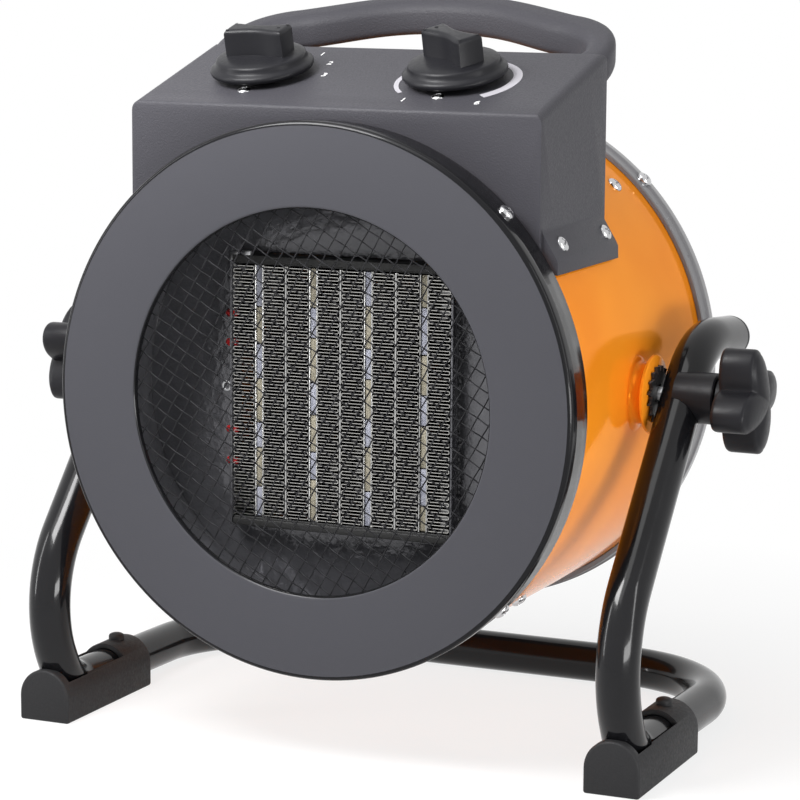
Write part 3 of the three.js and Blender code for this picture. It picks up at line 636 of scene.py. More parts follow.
def makeStones(number):
    low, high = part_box(f"ceramic_bar_{number}")
    s = stoneSet
    heights, half, strip = s["heights"][number - 1], s["gap"] / 2 * mm, s["strip"] * mm
    scale = (high.z - low.z) / (sum(heights) * mm)
    stones, z = [], low.z
    for k, height in enumerate(heights):
        top = z + height * mm * scale
        stone = blockPiece("stone", (low.x + strip, low.y, z + half),
                           (high.x - strip, high.y, top - half))
        tone = "ceramicCool" if (k + number) % 2 else "ceramicWarm"
        stone.data.materials.append(finishes[tone])
        stones.append(stone)
        z = top
    bar = joinUp(stones, f"ceramicStones{number}")
    soften(bar, 0.35 * mm, 2, 50)
    smooth(bar)
    dress(bar, None, "element_ceramic", "heater", f"ceramic_bar_{number}")
    out = s["stripOut"] * mm
    strips = [blockPiece("strip", (edge, low.y - s["recess"] * mm, low.z),
                         (edge + strip + out, high.y, high.z))
              for edge in (low.x - out, high.x - strip)]
    rails = joinUp(strips, f"contactStrips{number}")
    soften(rails, 0.1 * mm, 1, 50)
    dress(rails, "strip", "bare_aluminium", "heater")


frameBarSet = {"lip": 1.2, "lipSunk": 0.5, "step": 0.8}


def makeFrameBar(name, node, side):  # a bar with a lip that stands ahead of it
    low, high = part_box(node)
    ahead, sunk, step = (frameBarSet[key] * mm for key in ("lip", "lipSunk", "step"))
    lip = blockPiece("lip", (low.x, low.y - ahead, low.z + (step if side > 0 else 0)),
                     (high.x, low.y + sunk, high.z - (0 if side > 0 else step)))
    bar = joinUp([blockPiece(name, low, high), lip], name)
    soften(bar, 0.5 * mm, 3, 40)
    smooth(bar)
    dress(bar, "framePlastic", "element_frame_plastic", "heater", node)


def makeDivider(number):
    node = f"divider_strip_{number}"
    low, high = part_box(node)
    strip = blockPiece(f"dividerStrip{number}", low, high)
    soften(strip, 0.12 * mm, 2, 40)
    dress(strip, "strip", "bare_aluminium", "heater", node)


makeDuct()
makeBaffle()
makeFins()
for number in (1, 2, 3, 4):
    makeStones(number)
for number in (1, 2, 3):
    makeDivider(number)
makeFrameBar("elementFrameTop", "element_frame_top", 1)
makeFrameBar("elementFrameBottom", "element_frame_bottom", -1)
print("heating element done")


# Short silicone-covered leads leave the element's left side and turn back through the plate.
leadSet = {"radius": 1.7, "ahead": 55.0, "heights": [31.4, 18.7, -19.6, -33.4], "bend": 2.6,
           "path": [(1, 0, 0), (-3.6, 0, 0), (-5.1, 12, -3)]}  # out, back and up from there
terminalSet = {"ahead": 56.0, "ring": (-3.6, -0.6), "hole": 1.3, "ringRadius": 2.3, "sheet": 0.8,
               "tabs": [(-50.3, 56.5), (-44.5, 57.2)], "tab": (2.2, 2.0, 1.8)}


def makeLeads():
    s = leadSet
    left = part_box("element_frame_top")[0].x
    lines = []
    for z in s["heights"]:
        root = Vector((left, pivot.y - s["ahead"] * mm, pivot.z + z * mm))
        start, bend, end = (root + Vector(step) * mm for step in s["path"])
        lines.append(bentLine([(start, 0), (bend, s["bend"] * mm), (end, 0)], 15))
    leads = wirePiece("elementLeads", lines, s["radius"] * mm, sides=12)
    smooth(leads, 60)
    dress(leads, "red", "element_frame_plastic", "heater")


def makeTerminals():  # a ring terminal and two tabs at the corner
    s = terminalSet
    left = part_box("element_frame_top")[0].x / mm
    out, up = s["ring"]
    section = [(s["hole"], 0), (s["ringRadius"], 0), (s["ringRadius"], s["sheet"]),
               (s["hole"], s["sheet"])]
    ring = turnedPiece("ring", section, 32, closed=True)
    place(ring, pivot + Vector((left + out, -s["ahead"], up)) * mm, facingFront)
    wide, thick, high = s["tab"]
    tabs = []
    for x, z in s["tabs"]:
        spot = pivot + Vector((x, -s["ahead"] - thick, z)) * mm
        tabs.append(blockPiece("tab", spot - Vector((wide, 0, high)) * mm,
                               spot + Vector((wide, thick, high)) * mm))
    terminals = joinUp([ring] + tabs, "elementTerminals")
    soften(terminals, 0.25 * mm, 2, 40)
    smooth(terminals, 40)
    dress(terminals, "zinc", "bare_aluminium", "heater")


makeTerminals()
makeLeads()
print("leads done")


housingSet = {"halfWidth": 94.3, "front": 67.6, "rear": 8.8, "frontHeight": 122.4,
              "slope": 16.2, "edge": 4.0, "tabTop": 74.2, "tabReach": 101.6, "tabBend": 63.5,
              "tabBottom": 57.0, "tabInset": 2.0, "deep": 110.0, "planFront": -22.0,
              "drumGap": 0.3, "past": 200.0}
handleSet = {"rise": 22.5, "thick": 15.4, "edge": 4.6, "arm": 12.6, "bar": 13.0,
             "shoulder": 12.5, "knee": 46.0, "kneeWidth": 67.5, "tip": 64.5, "bow": 7.5,
             "root": 0.8, "gapRoot": 7.6, "fillet": 4.0, "waist": 0.57, "kneeEase": 0.45,
             "tipEase": 28.0}
slopeAngle = math.radians(housingSet["slope"])


def panelHeight(ahead):
    return housingSet["frontHeight"] + math.tan(slopeAngle) * (housingSet["front"] - ahead)


def onSlope(spot):  # from the panel's directions to the frame's
    return Matrix.Translation(Vector(spot)) @ Matrix.Rotation(slopeAngle, 4, "X")


def onPanel(ahead):
    return onSlope(pivot + Vector((0, -ahead, panelHeight(ahead))) * mm)


def addPath(curve, knots):  # knots are (handle, point, handle)
    spline = curve.splines.new("BEZIER")
    spline.bezier_points.add(len(knots) - 1)
    spline.use_cyclic_u = True
    spline.resolution_u = 20
    for knot, (before, point, after) in zip(spline.bezier_points, knots):
        knot.handle_left_type = knot.handle_right_type = "FREE"
        knot.handle_left = (*[c * mm for c in before], 0)
        knot.co = (*[c * mm for c in point], 0)
        knot.handle_right = (*[c * mm for c in after], 0)


def mirrorKnots(half):  # right half to the whole outline
    left = [((-a[0], a[1]), (-p[0], p[1]), (-b[0], b[1])) for b, p, a in reversed(half)]
    return half + [k for k in left if abs(k[1][0]) > 1e-6]


def caseKnots():  # plan of the case on the panel's slope
    s = housingSet
    w, near = s["halfWidth"], s["planFront"]
    far = (s["front"] + s["rear"]) / math.cos(slopeAngle)
    return mirrorKnots([((0, near), (w, near), (w, 0)), ((w, 20), (w, far), (0, far))])


def handleKnots(inset, barInset, start, bend):  # one edge of the handle, seen from above
    s = handleSet
    w, turn, tip = housingSet["halfWidth"] - inset, s["shoulder"], s["tip"] - barInset
    knee, kneeWidth = s["knee"] - barInset * 0.8, s["kneeWidth"] - barInset * 0.8
    return mirrorKnots([
        ((0, start[1]), start, bend),
        ((w, turn - 3), (w, turn), (w, turn + (knee - turn) * s["waist"])),
        ((w - (w - kneeWidth) * s["kneeEase"], knee - 4), (kneeWidth, knee),
         (kneeWidth - 20, knee + s["bow"])),
        ((s["tipEase"], tip), (0, tip), (-s["tipEase"], tip))])


def plateFromKnots(name, outlines, depth, edge):  # outlined plate under z = 0, rounded edges
    curve = bpy.data.curves.new(name, "CURVE")
    curve.dimensions = "2D"
    curve.fill_mode = "BOTH"
    curve.extrude = (depth / 2 - edge) * mm
    curve.bevel_depth = edge * mm
    curve.bevel_resolution = 5
    curve.offset = -edge * mm
    for knots in outlines:
        addPath(curve, knots)
    plate = shift(meshFromCurve(name, curve), (0, 0, -depth / 2 * mm))
    return weld(plate, 0.01 * mm)


def sideOutline():  # (behind, above) the tilt axis
    s = housingSet
    rise = panelHeight(s["front"])
    corner = arcPoints((-s["front"] + 1.6, rise - 1.4), 1.6, 180, 90 + s["slope"], 4)
    return [(-s["front"], s["tabBottom"])] + corner + [
        (s["rear"], panelHeight(-s["rear"]) + 1), (s["rear"], s["tabBottom"])]


def prismAcross(name, outline, halfWidth):  # outline of (y, z) carried along X
    prism = platePiece(name, outline, -halfWidth, halfWidth)
    prism.data.transform(Matrix(((0, 0, 1, 0), (1, 0, 0, 0), (0, 1, 0, 0), (0, 0, 0, 1))))
    return weld(prism)


def tabPiece(side):  # the flared tab on one side of the drum, (out, above) the axis
    s = housingSet
    w = s["halfWidth"]
    outline = [(w - 6, s["tabTop"] + 8), (w - 0.01, s["tabTop"] + 1.5),
               (w + 0.6, s["tabTop"] - 0.6), (s["tabReach"] - 1.0, s["tabBend"] + 0.6),
               (s["tabReach"] - 0.1, s["tabBend"] - 1.2), (s["tabReach"], s["tabBottom"]),
               (w - 8, s["tabBottom"])]
    if side < 0:
        outline = [(-x, z) for x, z in reversed(outline)]
    tab = platePiece("tab", outline, -s["front"] + s["tabInset"], s["rear"] - s["tabInset"])
    tab.data.transform(swapYZ)
    return weld(tab)


def loopHandle():  # a flat ring, sheared to its rise
    s, w = handleSet, housingSet["halfWidth"]
    gapStart = (w - s["arm"] - s["fillet"], s["gapRoot"])
    outer = handleKnots(0, 0, (w - 1.5, s["root"]), (w - 0.9, s["root"] + 4))
    gap = handleKnots(s["arm"], s["bar"], gapStart, (gapStart[0] + 3, s["gapRoot"]))
    loop = plateFromKnots("loop", [outer, gap], s["thick"], s["edge"])
    rise, rear = math.tan(math.radians(s["rise"])), housingSet["rear"]
    lift = (panelHeight(-rear) - rise * rear) * mm
    loop.data.transform(Matrix(((1, 0, 0, 0), (0, 1, 0, 0), (0, rise, 1, lift), (0, 0, 0, 1))))
    return loop


def makeHousing():
    s = housingSet
    case = plateFromKnots("controlHousing", [caseKnots()], s["deep"], s["edge"])
    case.data.transform(Matrix.Translation(-pivot) @ onPanel(s["front"]))
    carve(case, prismAcross("side", sideOutline(), s["past"]), "INTERSECT")
    carve(case, loopHandle(), "UNION")
    for side in (1, -1):
        carve(case, tabPiece(side), "UNION")
    room = drumSet["radius"] + s["drumGap"]
    drum = turnedPiece("drumRoom", [(room, -s["past"]), (room, s["past"])], 192)
    carve(case, place(drum, (0, 0, 0), facingFront))
    weld(case, 0.01 * mm)
    soften(case, 0.7 * mm, 3, 32)
    place(case, pivot)
    smooth(case, 30)
    dress(case, "housing", "housing_plastic", "heater", "control_housing")


makeHousing()
print("housing done")


controlSet = {"skirt": 22.6, "lift": 2.2, "topHeight": 21.5, "gripLength": 27.0, "gripEnd": 12.0,
              "gripWaist": 8.0, "gripEdge": 2.0, "gripSunk": 3.0, "dot": 1.0, "stem": 4.5,
              "stemLength": 8.0, "turn": {"function": 0, "thermostat": 148}}


def skirtRings():  # two tiers with rounded edges
    rim = controlSet["skirt"]
    return [(rim - 3, 0)] + arcPoints((rim - 1.7, 1.9), 1.7, -80, 60, 6) + [
        (rim - 1.9, 3.9), (rim - 2.3, 4.3), (rim - 2.8, 5.5)] + arcPoints(
        (rim - 4.6, 5.4), 1.8, 20, 70, 4) + [(15.9, 7.5), (13.6, 7.8)]


def gripKnots():  # a bar with a waist, seen from above
    s = controlSet
    long, end, waist = (s[key] / 2 for key in ("gripLength", "gripEnd", "gripWaist"))
    near = [((-long - 0.6, -end * 0.4), (-long, -end), (-long * 0.66, -end)),
            ((-long * 0.42, -waist), (0, -waist), (long * 0.42, -waist)),
            ((long * 0.66, -end), (long, -end), (long + 0.6, -end * 0.4))]
    return near + [tuple((-x, -y) for x, y in knot) for knot in near]


def makeControl(kind):
    s = controlSet
    name, top = kind + "Knob", s["topHeight"] - s["lift"]
    grip = plateFromKnots("grip", [gripKnots()], top - s["gripSunk"], s["gripEdge"])
    shift(grip, (0, 0, top * mm))
    knob = carve(turnedPiece(name, skirtRings(), 96), grip, "UNION")
    soften(knob, 0.5 * mm, 3, 40)
    dot = turnedPiece("dot", [(s["dot"], -0.1), (s["dot"] - 0.15, 0.25)], 3)
    shift(dot, ((s["gripLength"] / 2 - 3) * mm, 0, top * mm))
    stem = turnedPiece("stem", [(s["stem"], -s["stemLength"]), (s["stem"], 1)], 32)
    knob = joinUp([knob, dot, stem], name)
    knob.data.transform(Matrix.Rotation(math.radians(s["turn"][kind]), 4, "Z"))
    shift(knob, (0, 0, s["lift"] * mm))
    knob.data.transform(onSlope(joints[kind + "_turn"]["pos_m"]))
    smooth(knob, 40)
    dress(knob, "knob", "knob_plastic", kind + "_control", kind + "_knob")


makeControl("function")
makeControl("thermostat")

dialSet = {"inner": 24.4, "outerStart": 26.2, "outerEnd": 28.9, "start": 224, "end": -44,
           "thick": 0.15, "sunk": 0.3, "steps": 60}


def makeDial():  # heat scale that widens towards its hot end
    s = dialSet
    outer, inner = [], []
    for i in range(s["steps"] + 1):
        share = i / s["steps"]
        a = math.radians(s["start"] + (s["end"] - s["start"]) * share)
        r = s["outerStart"] + (s["outerEnd"] - s["outerStart"]) * share
        outer.append((r * math.cos(a), r * math.sin(a)))
        inner.append((s["inner"] * math.cos(a), s["inner"] * math.sin(a)))
    dial = platePiece("heatScale", outer + inner[::-1], -s["sunk"], s["thick"])
    dial.data.transform(onSlope(joints["thermostat_turn"]["pos_m"]))
    dress(dial, "ink", "housing_plastic", "heater")


# Each mark has its figure, its place across the panel and its place ahead of the tilt axis.
markSet = {"size": 5.6, "thick": 0.1, "lift": 0.05, "marks": {
    "scaleLow": ("1", 28.2, 56.7), "scaleHigh": ("6", 61.8, 57.2),
    "functionOff": ("0", -49.25, 3), "functionOne": ("1", -34, 4),
    "functionTwo": ("2", -25, 15.2), "functionThree": ("3", -20.8, 29.8)}}


def makeMark(name, text, x, ahead):
    s = markSet
    dropAll()
    bpy.ops.object.text_add()
    figure = bpy.context.object.data
    figure.body, figure.size, figure.extrude = text, s["size"] * mm, s["thick"] * mm
    figure.align_x = figure.align_y = "CENTER"
    bpy.ops.object.convert(target="MESH")
    mark = fresh(name)
    mark.data.transform(onPanel(ahead) @ Matrix.Translation((x * mm, 0, s["lift"] * mm)))
    dress(mark, "white", "housing_plastic", "heater")


makeDial()
for name, values in markSet["marks"].items():
    makeMark(name, *values)
print("controls and marks done")


# One pan head with a cross recess is made and copied.
screwSet = {"head": 3.7, "dome": 2.1, "skirt": 0.3, "slot": 0.9, "slotLength": 4.2,
            "slotDepth": 1.4}


def screwHead(name):
    s = screwSet
    rings = [(s["head"], -1.5), (s["head"], s["skirt"])]
    rings += domeRings(s["head"], s["skirt"], s["dome"], (15, 30, 45, 60, 72, 82))
    head = turnedPiece(name, rings, 32)
    long, short, floor = s["slotLength"] / 2, s["slot"] / 2, s["dome"] - s["slotDepth"]
    for x, y in ((short, long), (long, short)):
        carve(head, blockPiece("cross", Vector((-x, -y, floor)) * mm, Vector((x, y, 10)) * mm))
    soften(head, 0.12 * mm, 2, 45)
    return smooth(head, 40)


screwModel = screwHead("screwModel")


def putScrew(name, spot, normal, spin, size=1.0):
    screw = copyOf(screwModel, name)
    screw.data.transform(Matrix.Translation(Vector(spot)) @ turnTo(normal)
                         @ Matrix.Rotation(math.radians(spin), 4, "Z")
                         @ Matrix.Scale(size, 4))
    dress(screw, "chrome", "plated_steel", "heater")


def radialScrew(name, angle, ahead, radius, spin):  # angle up from the right-hand side
    out = Vector((math.cos(math.radians(angle)), 0, math.sin(math.radians(angle))))
    putScrew(name, pivot + (out * radius - Vector((0, ahead, 0))) * mm, out, spin)


rimScrews = {"angles": (45, 135, -45, -135), "front": 75.5, "rear": -91.0}
shellScrews = {"shellScrewRear": (46.3, -63), "shellScrewLow": (-50, 33),
               "shellScrewRearLeft": (133.7, -63), "shellScrewLowLeft": (230, 33)}
shellSpins = (10, 40, 25, 5)
for number, angle in enumerate(rimScrews["angles"], 1):
    radialScrew(f"frontRimScrew{number}", angle, rimScrews["front"], rimSet["band"], 20 * number)
    radialScrew(f"rearRimScrew{number}", angle, rimScrews["rear"], rimSet["bead"], 35 * number)
for (name, (angle, ahead)), spin in zip(shellScrews.items(), shellSpins):
    radialScrew(name, angle, ahead, drumSet["radius"], spin)

tabScrews = {"across": 98.2, "above": 68.6, "ahead": (51.8, 0.4), "sunk": 0.4}
for side, word in ((1, "Right"), (-1, "Left")):  # through the tabs' sloped faces
    rise = housingSet["tabTop"] - housingSet["tabBend"]
    run = housingSet["tabReach"] - housingSet["halfWidth"]
    normal = Vector((side * rise, 0, run)).normalized()
    for number, ahead in enumerate(tabScrews["ahead"], 1):
        spot = Vector((side * tabScrews["across"], -ahead, tabScrews["above"]))
        spot = pivot + (spot - normal * tabScrews["sunk"]) * mm
        putScrew(f"tabScrew{word}{number}", spot, normal, 30 * number)

panelScrews = {"places": ((-48.6, 51.2), (41.8, 51.6)), "sunk": 0.5, "size": 0.8, "spin": 45}
for number, (x, ahead) in enumerate(panelScrews["places"], 1):
    spot = onPanel(ahead) @ Vector((x * mm, 0, -panelScrews["sunk"] * mm))
    putScrew(f"panelScrew{number}", spot, onPanel(0).to_3x3() @ Vector((0, 0, 1)),
             panelScrews["spin"], panelScrews["size"])
bpy.data.objects.remove(screwModel)
print("screws done")


# Bosses, washers, spacers, caps and feet are made on the right and mirrored to the left.
alongX = (0, 90, 0)  # local Z laid along +X
bossSet = {"base": 15.5, "flare": 1.6, "neck": 13.0, "disc": 17.0, "discThick": 2.0,
           "hole": 6.0, "edge": 0.6, "sunk": 3.5}


def pairOf(make, name, finish, slotName, body, node):
    right = make(name + "Right")
    left = flipAcross(copyOf(right, name + "Left"))
    for piece, suffix in ((right, "right"), (left, "left")):
        dress(piece, finish, slotName, body, f"{node}_{suffix}")


def bossRight(name):
    s = bossSet
    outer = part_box("pivot_boss_right")[1].x / mm
    inner, foot, edge = outer - s["discThick"], drumSet["radius"], s["edge"]
    reach, turn = s["base"] + edge, s["base"] - s["neck"]
    rings = [(reach, foot - s["sunk"]), (reach, foot - 0.9)]
    rings += [(s["base"] - turn * math.sin(a), foot - 0.5 + s["flare"] * (1 - math.cos(a)))
              for a in map(math.radians, (0, 30, 60, 90))]
    rings += [(s["neck"], inner - edge), (s["neck"] + 0.5, inner)]
    rings += [(s["disc"] - edge, inner), (s["disc"], inner + 0.5), (s["disc"], outer - 0.5),
              (s["disc"] - edge, outer), (s["hole"], outer), (s["hole"], outer - s["hole"])]
    return smooth(place(turnedPiece(name, rings, 96), pivot, alongX), 45)


washerSet = {"radius": 12.6, "thick": 1.1, "teeth": 16, "tooth": 2.2, "twist": 0.45,
             "hole": 4.6, "past": 400.0}


def washerRight(name):  # external teeth, each set over a little
    s = washerSet
    low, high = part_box("tooth_washer_right")
    count = s["teeth"] * 4
    outline = []
    for i in range(count):
        radius = s["radius"] - (s["tooth"] if i % 4 in (0, 3) else 0)
        a = 2 * math.pi * (i + 0.5) / count
        outline.append((radius * math.cos(a), radius * math.sin(a)))
    middle, half = (low.x + high.x) / 2 / mm, s["thick"] / 2
    washer = platePiece(name, outline, middle - half, middle + half)
    for i, vertex in enumerate(washer.data.vertices):
        if vertex.co.xy.length > (s["radius"] - 0.5) * mm:
            vertex.co.z += (s["twist"] if i % 4 == 1 else -s["twist"]) * mm
    carve(washer, turnedPiece("hole", [(s["hole"], 0), (s["hole"], s["past"])], 32))
    return smooth(place(washer, pivot, alongX), 30)


clampSet = {"lobes": 4, "waist": 12.0, "reach": 23.6, "thick": 15.0, "dome": 4.0, "wave": 0.75,
            "round": 1.6, "hub": 9.5, "hubLength": 2.6, "sides": 144,
            "rest": {"right": 15, "left": 60}}


def lobeRadius(angle, tilt):  # star outline, with full round lobes
    s = clampSet
    wave = (1 + math.cos(s["lobes"] * (angle - math.radians(tilt)))) / 2
    return s["waist"] + (s["reach"] - s["waist"]) * wave ** s["wave"]


def starKnob(name, tilt):
    s = clampSet
    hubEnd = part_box("clamp_knob_right")[0].x / mm
    inner = hubEnd + s["hubLength"]
    dropAll()
    bpy.ops.mesh.primitive_circle_add(vertices=s["sides"], radius=mm)
    knob = fresh(name)
    for vertex in knob.data.vertices:
        angle = math.atan2(vertex.co.y, vertex.co.x)
        r = lobeRadius(angle, tilt) * mm
        vertex.co = (r * math.cos(angle), r * math.sin(angle), 0)
    side = s["thick"]
    steps = [(0.93, 0.0), (0.965, 0.3), (0.99, 1.0), (1.0, 2.0), (1.0, side - s["round"]),
             (0.99, side - 0.7), (0.965, side - 0.15), (0.93, side + 0.1)]
    steps += [(0.93 * math.cos(a), side + 0.1 + (s["dome"] - 0.1) * math.sin(a) ** 1.3)
              for a in map(math.radians, (15, 28, 40, 52, 63, 73, 81, 87))]
    first = steps[0][0]
    openEdit(knob)
    bpy.ops.transform.translate(value=(0, 0, inner * mm))
    bpy.ops.transform.resize(value=(first, first, 1), center_override=(0, 0, 0))
    raiseSolid(steps)  # here the rings are shares of the outline
    bpy.ops.mesh.select_mode(type="VERT")
    closeEdit()
    hub = turnedPiece("hub", [(s["hub"] - 0.5, hubEnd), (s["hub"], hubEnd + 0.5),
                              (s["hub"], inner + 0.8)], 64)
    return smooth(place(joinUp([weld(knob), hub], name), pivot, alongX), 40)


pairOf(bossRight, "pivotBoss", "orange", "shell_paint", "heater", "pivot_boss")
pairOf(washerRight, "toothWasher", "blackSteel", "black_gloss_paint", "heater", "tooth_washer")
for suffix, word in (("right", "Right"), ("left", "Left")):
    knob = starKnob("clampKnob" + word, clampSet["rest"][suffix])
    if suffix == "left":
        flipAcross(knob)
    dress(knob, "knob", "knob_plastic", f"clamp_{suffix}", f"clamp_knob_{suffix}")
print("clamps done")


# End, top and bow are places ahead of the tilt axis and above it.
tubeSet = {"radius": 9.2, "leg": 134.0, "runner": 12.6, "rear": 92.0,
           "end": (-63, 17.9), "top": (-20, 21.6), "topBend": 42.0,
           "bow": (84.8, -96), "bowBend": 50.0, "heel": 61.5, "heelBend": 22.0,
           "rearBend": 58.0}


def standCorners():  # corner points, each with the radius of its bend
    s = tubeSet

    def side(x):
        axis = Vector((x * mm, pivot.y, pivot.z))
        floor = Vector((x * mm, pivot.y, 0))
        places = [(axis, s["end"], 0), (axis, s["top"], s["topBend"]),
                  (axis, s["bow"], s["bowBend"]), (floor, (s["heel"], s["runner"]), s["heelBend"]),
                  (floor, (-s["rear"], s["radius"]), s["rearBend"])]
        return [(start + Vector((0, -ahead, above)) * mm, bend * mm)
                for start, (ahead, above), bend in places]

    return side(s["leg"]) + side(-s["leg"])[::-1]


def makeTube():
    s = tubeSet
    tube = wirePiece("standTube", [bentLine(standCorners(), 3)], s["radius"] * mm, sides=36)
    smooth(tube, 60)
    dress(tube, "gloss", "black_gloss_paint", "stand", "stand_tube")


def tubeRoom(gap):  # the tube again, a little fatter, as a cutter
    return wirePiece("tubeRoom", [bentLine(standCorners(), 8)],
                     (tubeSet["radius"] + gap) * mm, sides=32)


def capRight(name):  # a low dome in the tube's top end
    radius = tubeSet["radius"]
    (end, _), (corner, _) = standCorners()[:2]
    rings = [(radius - 0.2, 0.1), (radius, 0.4), (radius, 1.8)]
    rings += arcPoints((radius - 3, 1.8), 3.0, 12, 90, 6) + [(2, 5.3)]
    cap = turnedPiece(name, rings, 48)
    cap.data.transform(Matrix.Translation(end) @ turnTo((end - corner).normalized()))
    return smooth(cap, 50)


footSet = {"front": 81.0, "length": 77.0, "width": 24.6, "height": 23.4, "wall": 2.6,
           "floor": 5.0, "window": (26.0, 60.0), "mouth": 76.0, "mouthGap": 0.9,
           "tubeGap": 0.25, "plugAt": 15.0, "plugRadius": 3.6, "plugEdge": 1.4, "plugHeight": 3.0}


def footRight(name):  # a shoe over the tube, open at the bend
    s = footSet
    w, h, leg = s["width"] / 2, s["height"], tubeSet["leg"]
    outline = [(-w, 0), (w, 0)] + arcPoints((0, h - w), w, 0, 180, 24)
    shoe = platePiece(name, outline, -s["front"], s["length"] - s["front"])
    shoe.data.transform(swapYZ)
    weld(shoe)
    soften(shoe, 1.2 * mm, 3, 60)
    shift(shoe, (leg * mm, pivot.y, 0))
    carve(shoe, tubeRoom(s["tubeGap"]))
    rear, front = s["window"]
    openings = [("window", w - s["wall"], front, rear, s["floor"]),
                ("mouth", tubeSet["radius"] + s["mouthGap"], s["mouth"], front - 1,
                 tubeSet["runner"])]
    for part, half, near, far, low in openings:
        axis = Vector((leg * mm, pivot.y, 0))
        carve(shoe, blockPiece(part, axis + Vector((-half, -near, low)) * mm,
                               axis + Vector((half, -far, h + 10)) * mm))
    weld(shoe)
    soften(shoe, 0.35 * mm, 2, 45)
    return smooth(shoe, 40)


def plugRight(name):
    s = footSet
    rings = [(s["plugRadius"] - 0.3, -2.5), (s["plugRadius"], 0.2)]
    rings += domeRings(s["plugRadius"], s["plugEdge"], s["plugHeight"],
                       (0, 15, 30, 45, 60, 75, 84))
    plug = turnedPiece(name, rings, 40)
    place(plug, Vector((tubeSet["leg"] * mm, pivot.y - s["plugAt"] * mm, s["height"] * mm)))
    return smooth(plug, 40)


spacerSet = {"edge": 0.6, "hole": 5.0, "holeDepth": 3.0, "tubeGap": 0.2}


def saddleSpacer(name):  # round, with a hollow for the leg
    s = spacerSet
    low, high = (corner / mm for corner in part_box("clamp_spacer_right"))
    radius, edge, hole = (high.z - low.z) / 2, s["edge"], s["hole"]
    rings = [(radius, low.x - 1.0), (radius, high.x - edge), (radius - edge, high.x),
             (hole, high.x), (hole, high.x - s["holeDepth"])]
    spacer = smooth(place(turnedPiece(name, rings, 64), pivot, alongX), 40)
    carve(spacer, tubeRoom(s["tubeGap"]))
    soften(spacer, 0.3 * mm, 2, 45)
    return smooth(spacer, 40)


makeTube()
pairOf(capRight, "tubeCap", "knob", "housing_plastic", "stand", "tube_cap")
pairOf(footRight, "foot", "rubber", "foot_rubber", "stand", "foot")
pairOf(plugRight, "footPlug", "rubber", "foot_rubber", "stand", "foot_plug")
pairOf(saddleSpacer, "clampSpacer", "knob", "housing_plastic", "stand", "clamp_spacer")
print("stand done")


glandSet = {"bore": 3.8, "neck": 6.0, "start": 2.2, "collar": 9.0, "collarAt": 9.1,
            "collarThick": 4.5, "edge": 0.4, "sleeve": 5.9, "sleeveEnd": 5.3, "length": 16.0}


def makeGland():  # a collar on the wall and a tapered sleeve
    s = glandSet
    low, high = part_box("cable_gland")
    edge, collar, wall = s["edge"], s["collar"], s["collarAt"]
    outer, end = wall + s["collarThick"], wall + s["length"]
    rings = [(s["bore"], s["start"]), (s["neck"], s["start"]), (s["neck"], wall),
             (collar - edge, wall), (collar, wall + edge), (collar, outer - edge),
             (collar - edge, outer), (s["sleeve"] + 0.5, outer + 0.5), (s["sleeve"], wall + 6),
             (s["sleeveEnd"], end - 0.6), (s["sleeveEnd"] - edge, end), (s["bore"], end)]
    gland = turnedPiece("cableGland", rings, 48, closed=True)
    place(gland, Vector(((low.x + high.x) / 2, pivot.y, (low.z + high.z) / 2)), facingRear)
    smooth(gland, 40)
    dress(gland, "knob", "housing_plastic", "heater", "cable_gland")


makeGland()
print("gland done")


# The inner pieces stay as the frame has them and only get finishes.
# the impeller takes the fins finish, whose depth ramp paints it in the leaves' near-black painted
# shade
nodeFinishes = {"fan_impeller": "fins", "fan_motor": "zinc", "motor_bracket": "zinc",
                "thermal_cutout": "zinc", "function_switch": "framePlastic",
                "thermostat": "zinc", "terminal_block": "ceramicWarm",
                "clamp_bolt_left": "zinc", "clamp_bolt_right": "zinc"}
for node, finish in nodeFinishes.items():
    mesh = frame["nodes"][node].data
    mesh.materials.clear()
    mesh.materials.append(finishes[finish])


def whiteRays(tree):  # 1 for what the camera, gloss and glass see
    path, either, every = (addNode(tree, kind) for kind in ("LightPath", "Math", "Math"))
    either.operation = every.operation = "MAXIMUM"
    tree.links.new(path.outputs["Is Camera Ray"], either.inputs[0])
    tree.links.new(path.outputs["Is Glossy Ray"], either.inputs[1])
    tree.links.new(either.outputs[0], every.inputs[0])
    tree.links.new(path.outputs["Is Transmission Ray"], every.inputs[1])
    return every.outputs[0]


floorSet = {"size": 120, "nearShare": 0.8, "farShare": 1.0, "start": 0.16, "end": 0.42}


def whiteForCamera(material):  # pale floor that goes over into plain white
    s, tree = floorSet, material.node_tree
    kinds = ("Emission", "MixShader", "TexCoord", "VectorMath", "Math")
    glow, mix, coordinates, away, part = (addNode(tree, kind) for kind in kinds)
    away.operation, part.operation = "LENGTH", "MULTIPLY"
    share = addRange(tree, s["start"], s["end"], s["nearShare"], s["farShare"])
    tree.links.new(coordinates.outputs["Object"], away.inputs[0])
    tree.links.new(away.outputs["Value"], share.inputs["Value"])
    tree.links.new(whiteRays(tree), part.inputs[0])
    tree.links.new(share.outputs["Result"], part.inputs[1])
    tree.links.new(part.outputs[0], mix.inputs["Fac"])
    tree.links.new(tree.nodes["Principled BSDF"].outputs[0], mix.inputs[1])
    tree.links.new(glow.outputs[0], mix.inputs[2])
    tree.links.new(mix.outputs[0], tree.nodes["Material Output"].inputs["Surface"])


def makeFloor():
    dropAll()
    bpy.ops.mesh.primitive_plane_add(size=floorSet["size"])
    floor = fresh("floor")
    material = newFinish("floorWhite", (0.9, 0.9, 0.9), 0.9, specular=0.0)
    whiteForCamera(material)
    floor.data.materials.append(material)


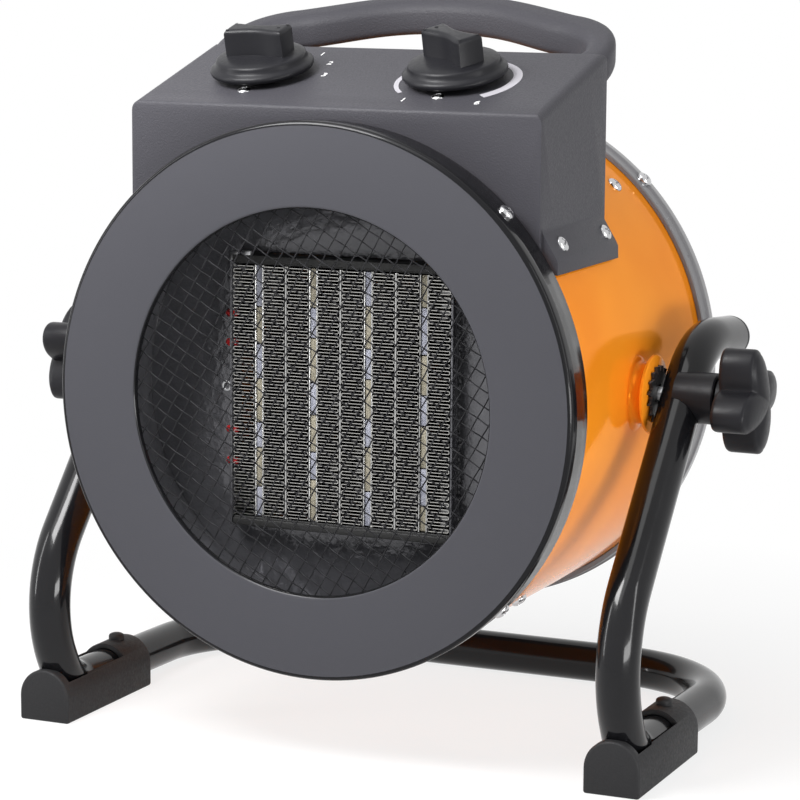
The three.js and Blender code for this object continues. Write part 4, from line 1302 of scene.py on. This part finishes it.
def makeWorld(ambient):
    world = bpy.data.worlds.new("studio")
    bpy.context.scene.world = world
    world.use_nodes = True
    tree = world.node_tree
    background = tree.nodes["Background"]
    background.inputs["Color"].default_value = (1, 1, 1, 1)
    strength = addRange(tree, 0, 1, ambient, 1)
    tree.links.new(whiteRays(tree), strength.inputs["Value"])
    tree.links.new(strength.outputs["Result"], background.inputs["Strength"])


def addSoftbox(name, spot, aim, size, power):
    light = bpy.data.lights.new(name, "AREA")
    light.shape = "RECTANGLE"
    light.size, light.size_y = size
    light.energy = power
    lamp = newObject(name, light)
    lamp.location = spot
    lamp.rotation_euler = (Vector(aim) - Vector(spot)).to_track_quat("-Z", "Y").to_euler()


cameraSet = {"spot": (0.52778, -1.18907, 0.35473), "azimuth": 23.929, "elevation": 9.271,
             "roll": 0.386, "lens": 132.9, "sensor": 36.0}


def makeCamera():
    s = cameraSet
    az, el, roll = (math.radians(s[key]) for key in ("azimuth", "elevation", "roll"))
    back = Vector((math.sin(az) * math.cos(el), -math.cos(az) * math.cos(el), math.sin(el)))
    right = (-back).cross(Vector((0, 0, 1))).normalized()
    up = right.cross(-back)
    across = right * math.cos(roll) + up * math.sin(roll)
    above = -right * math.sin(roll) + up * math.cos(roll)
    data = bpy.data.cameras.new("camera")
    data.lens, data.sensor_width = s["lens"], s["sensor"]
    camera = newObject("camera", data)
    turn = Matrix((across, above, back)).transposed().to_4x4()
    camera.matrix_world = Matrix.Translation(s["spot"]) @ turn
    bpy.context.scene.camera = camera


ambient, middle = 0.32, (0, 0, 0.16)
lightSet = {  # place, aim, size in metres, and power
    "topBox": ((-0.3, -0.6, 1.5), middle, (1.1, 1.1), 9.5),
    "frontBox": ((-0.16, -0.36, 0.56), (-0.02, -0.09, 0.24), (0.24, 0.24), 4.4),
    "rightStrip": ((1.3, -0.35, 0.4), middle, (0.14, 1.4), 6),
    "leftBox": ((-1.3, -0.8, 0.5), middle, (0.14, 1.3), 7),
    "lowBox": ((0.95, -0.55, 0.06), (0, 0, 0.08), (0.5, 0.24), 6)}
makeFloor()
makeWorld(ambient)
for name, values in lightSet.items():
    addSoftbox(name, *values)
makeCamera()
bpy.context.scene.view_settings.view_transform = "Standard"
print("stage set")
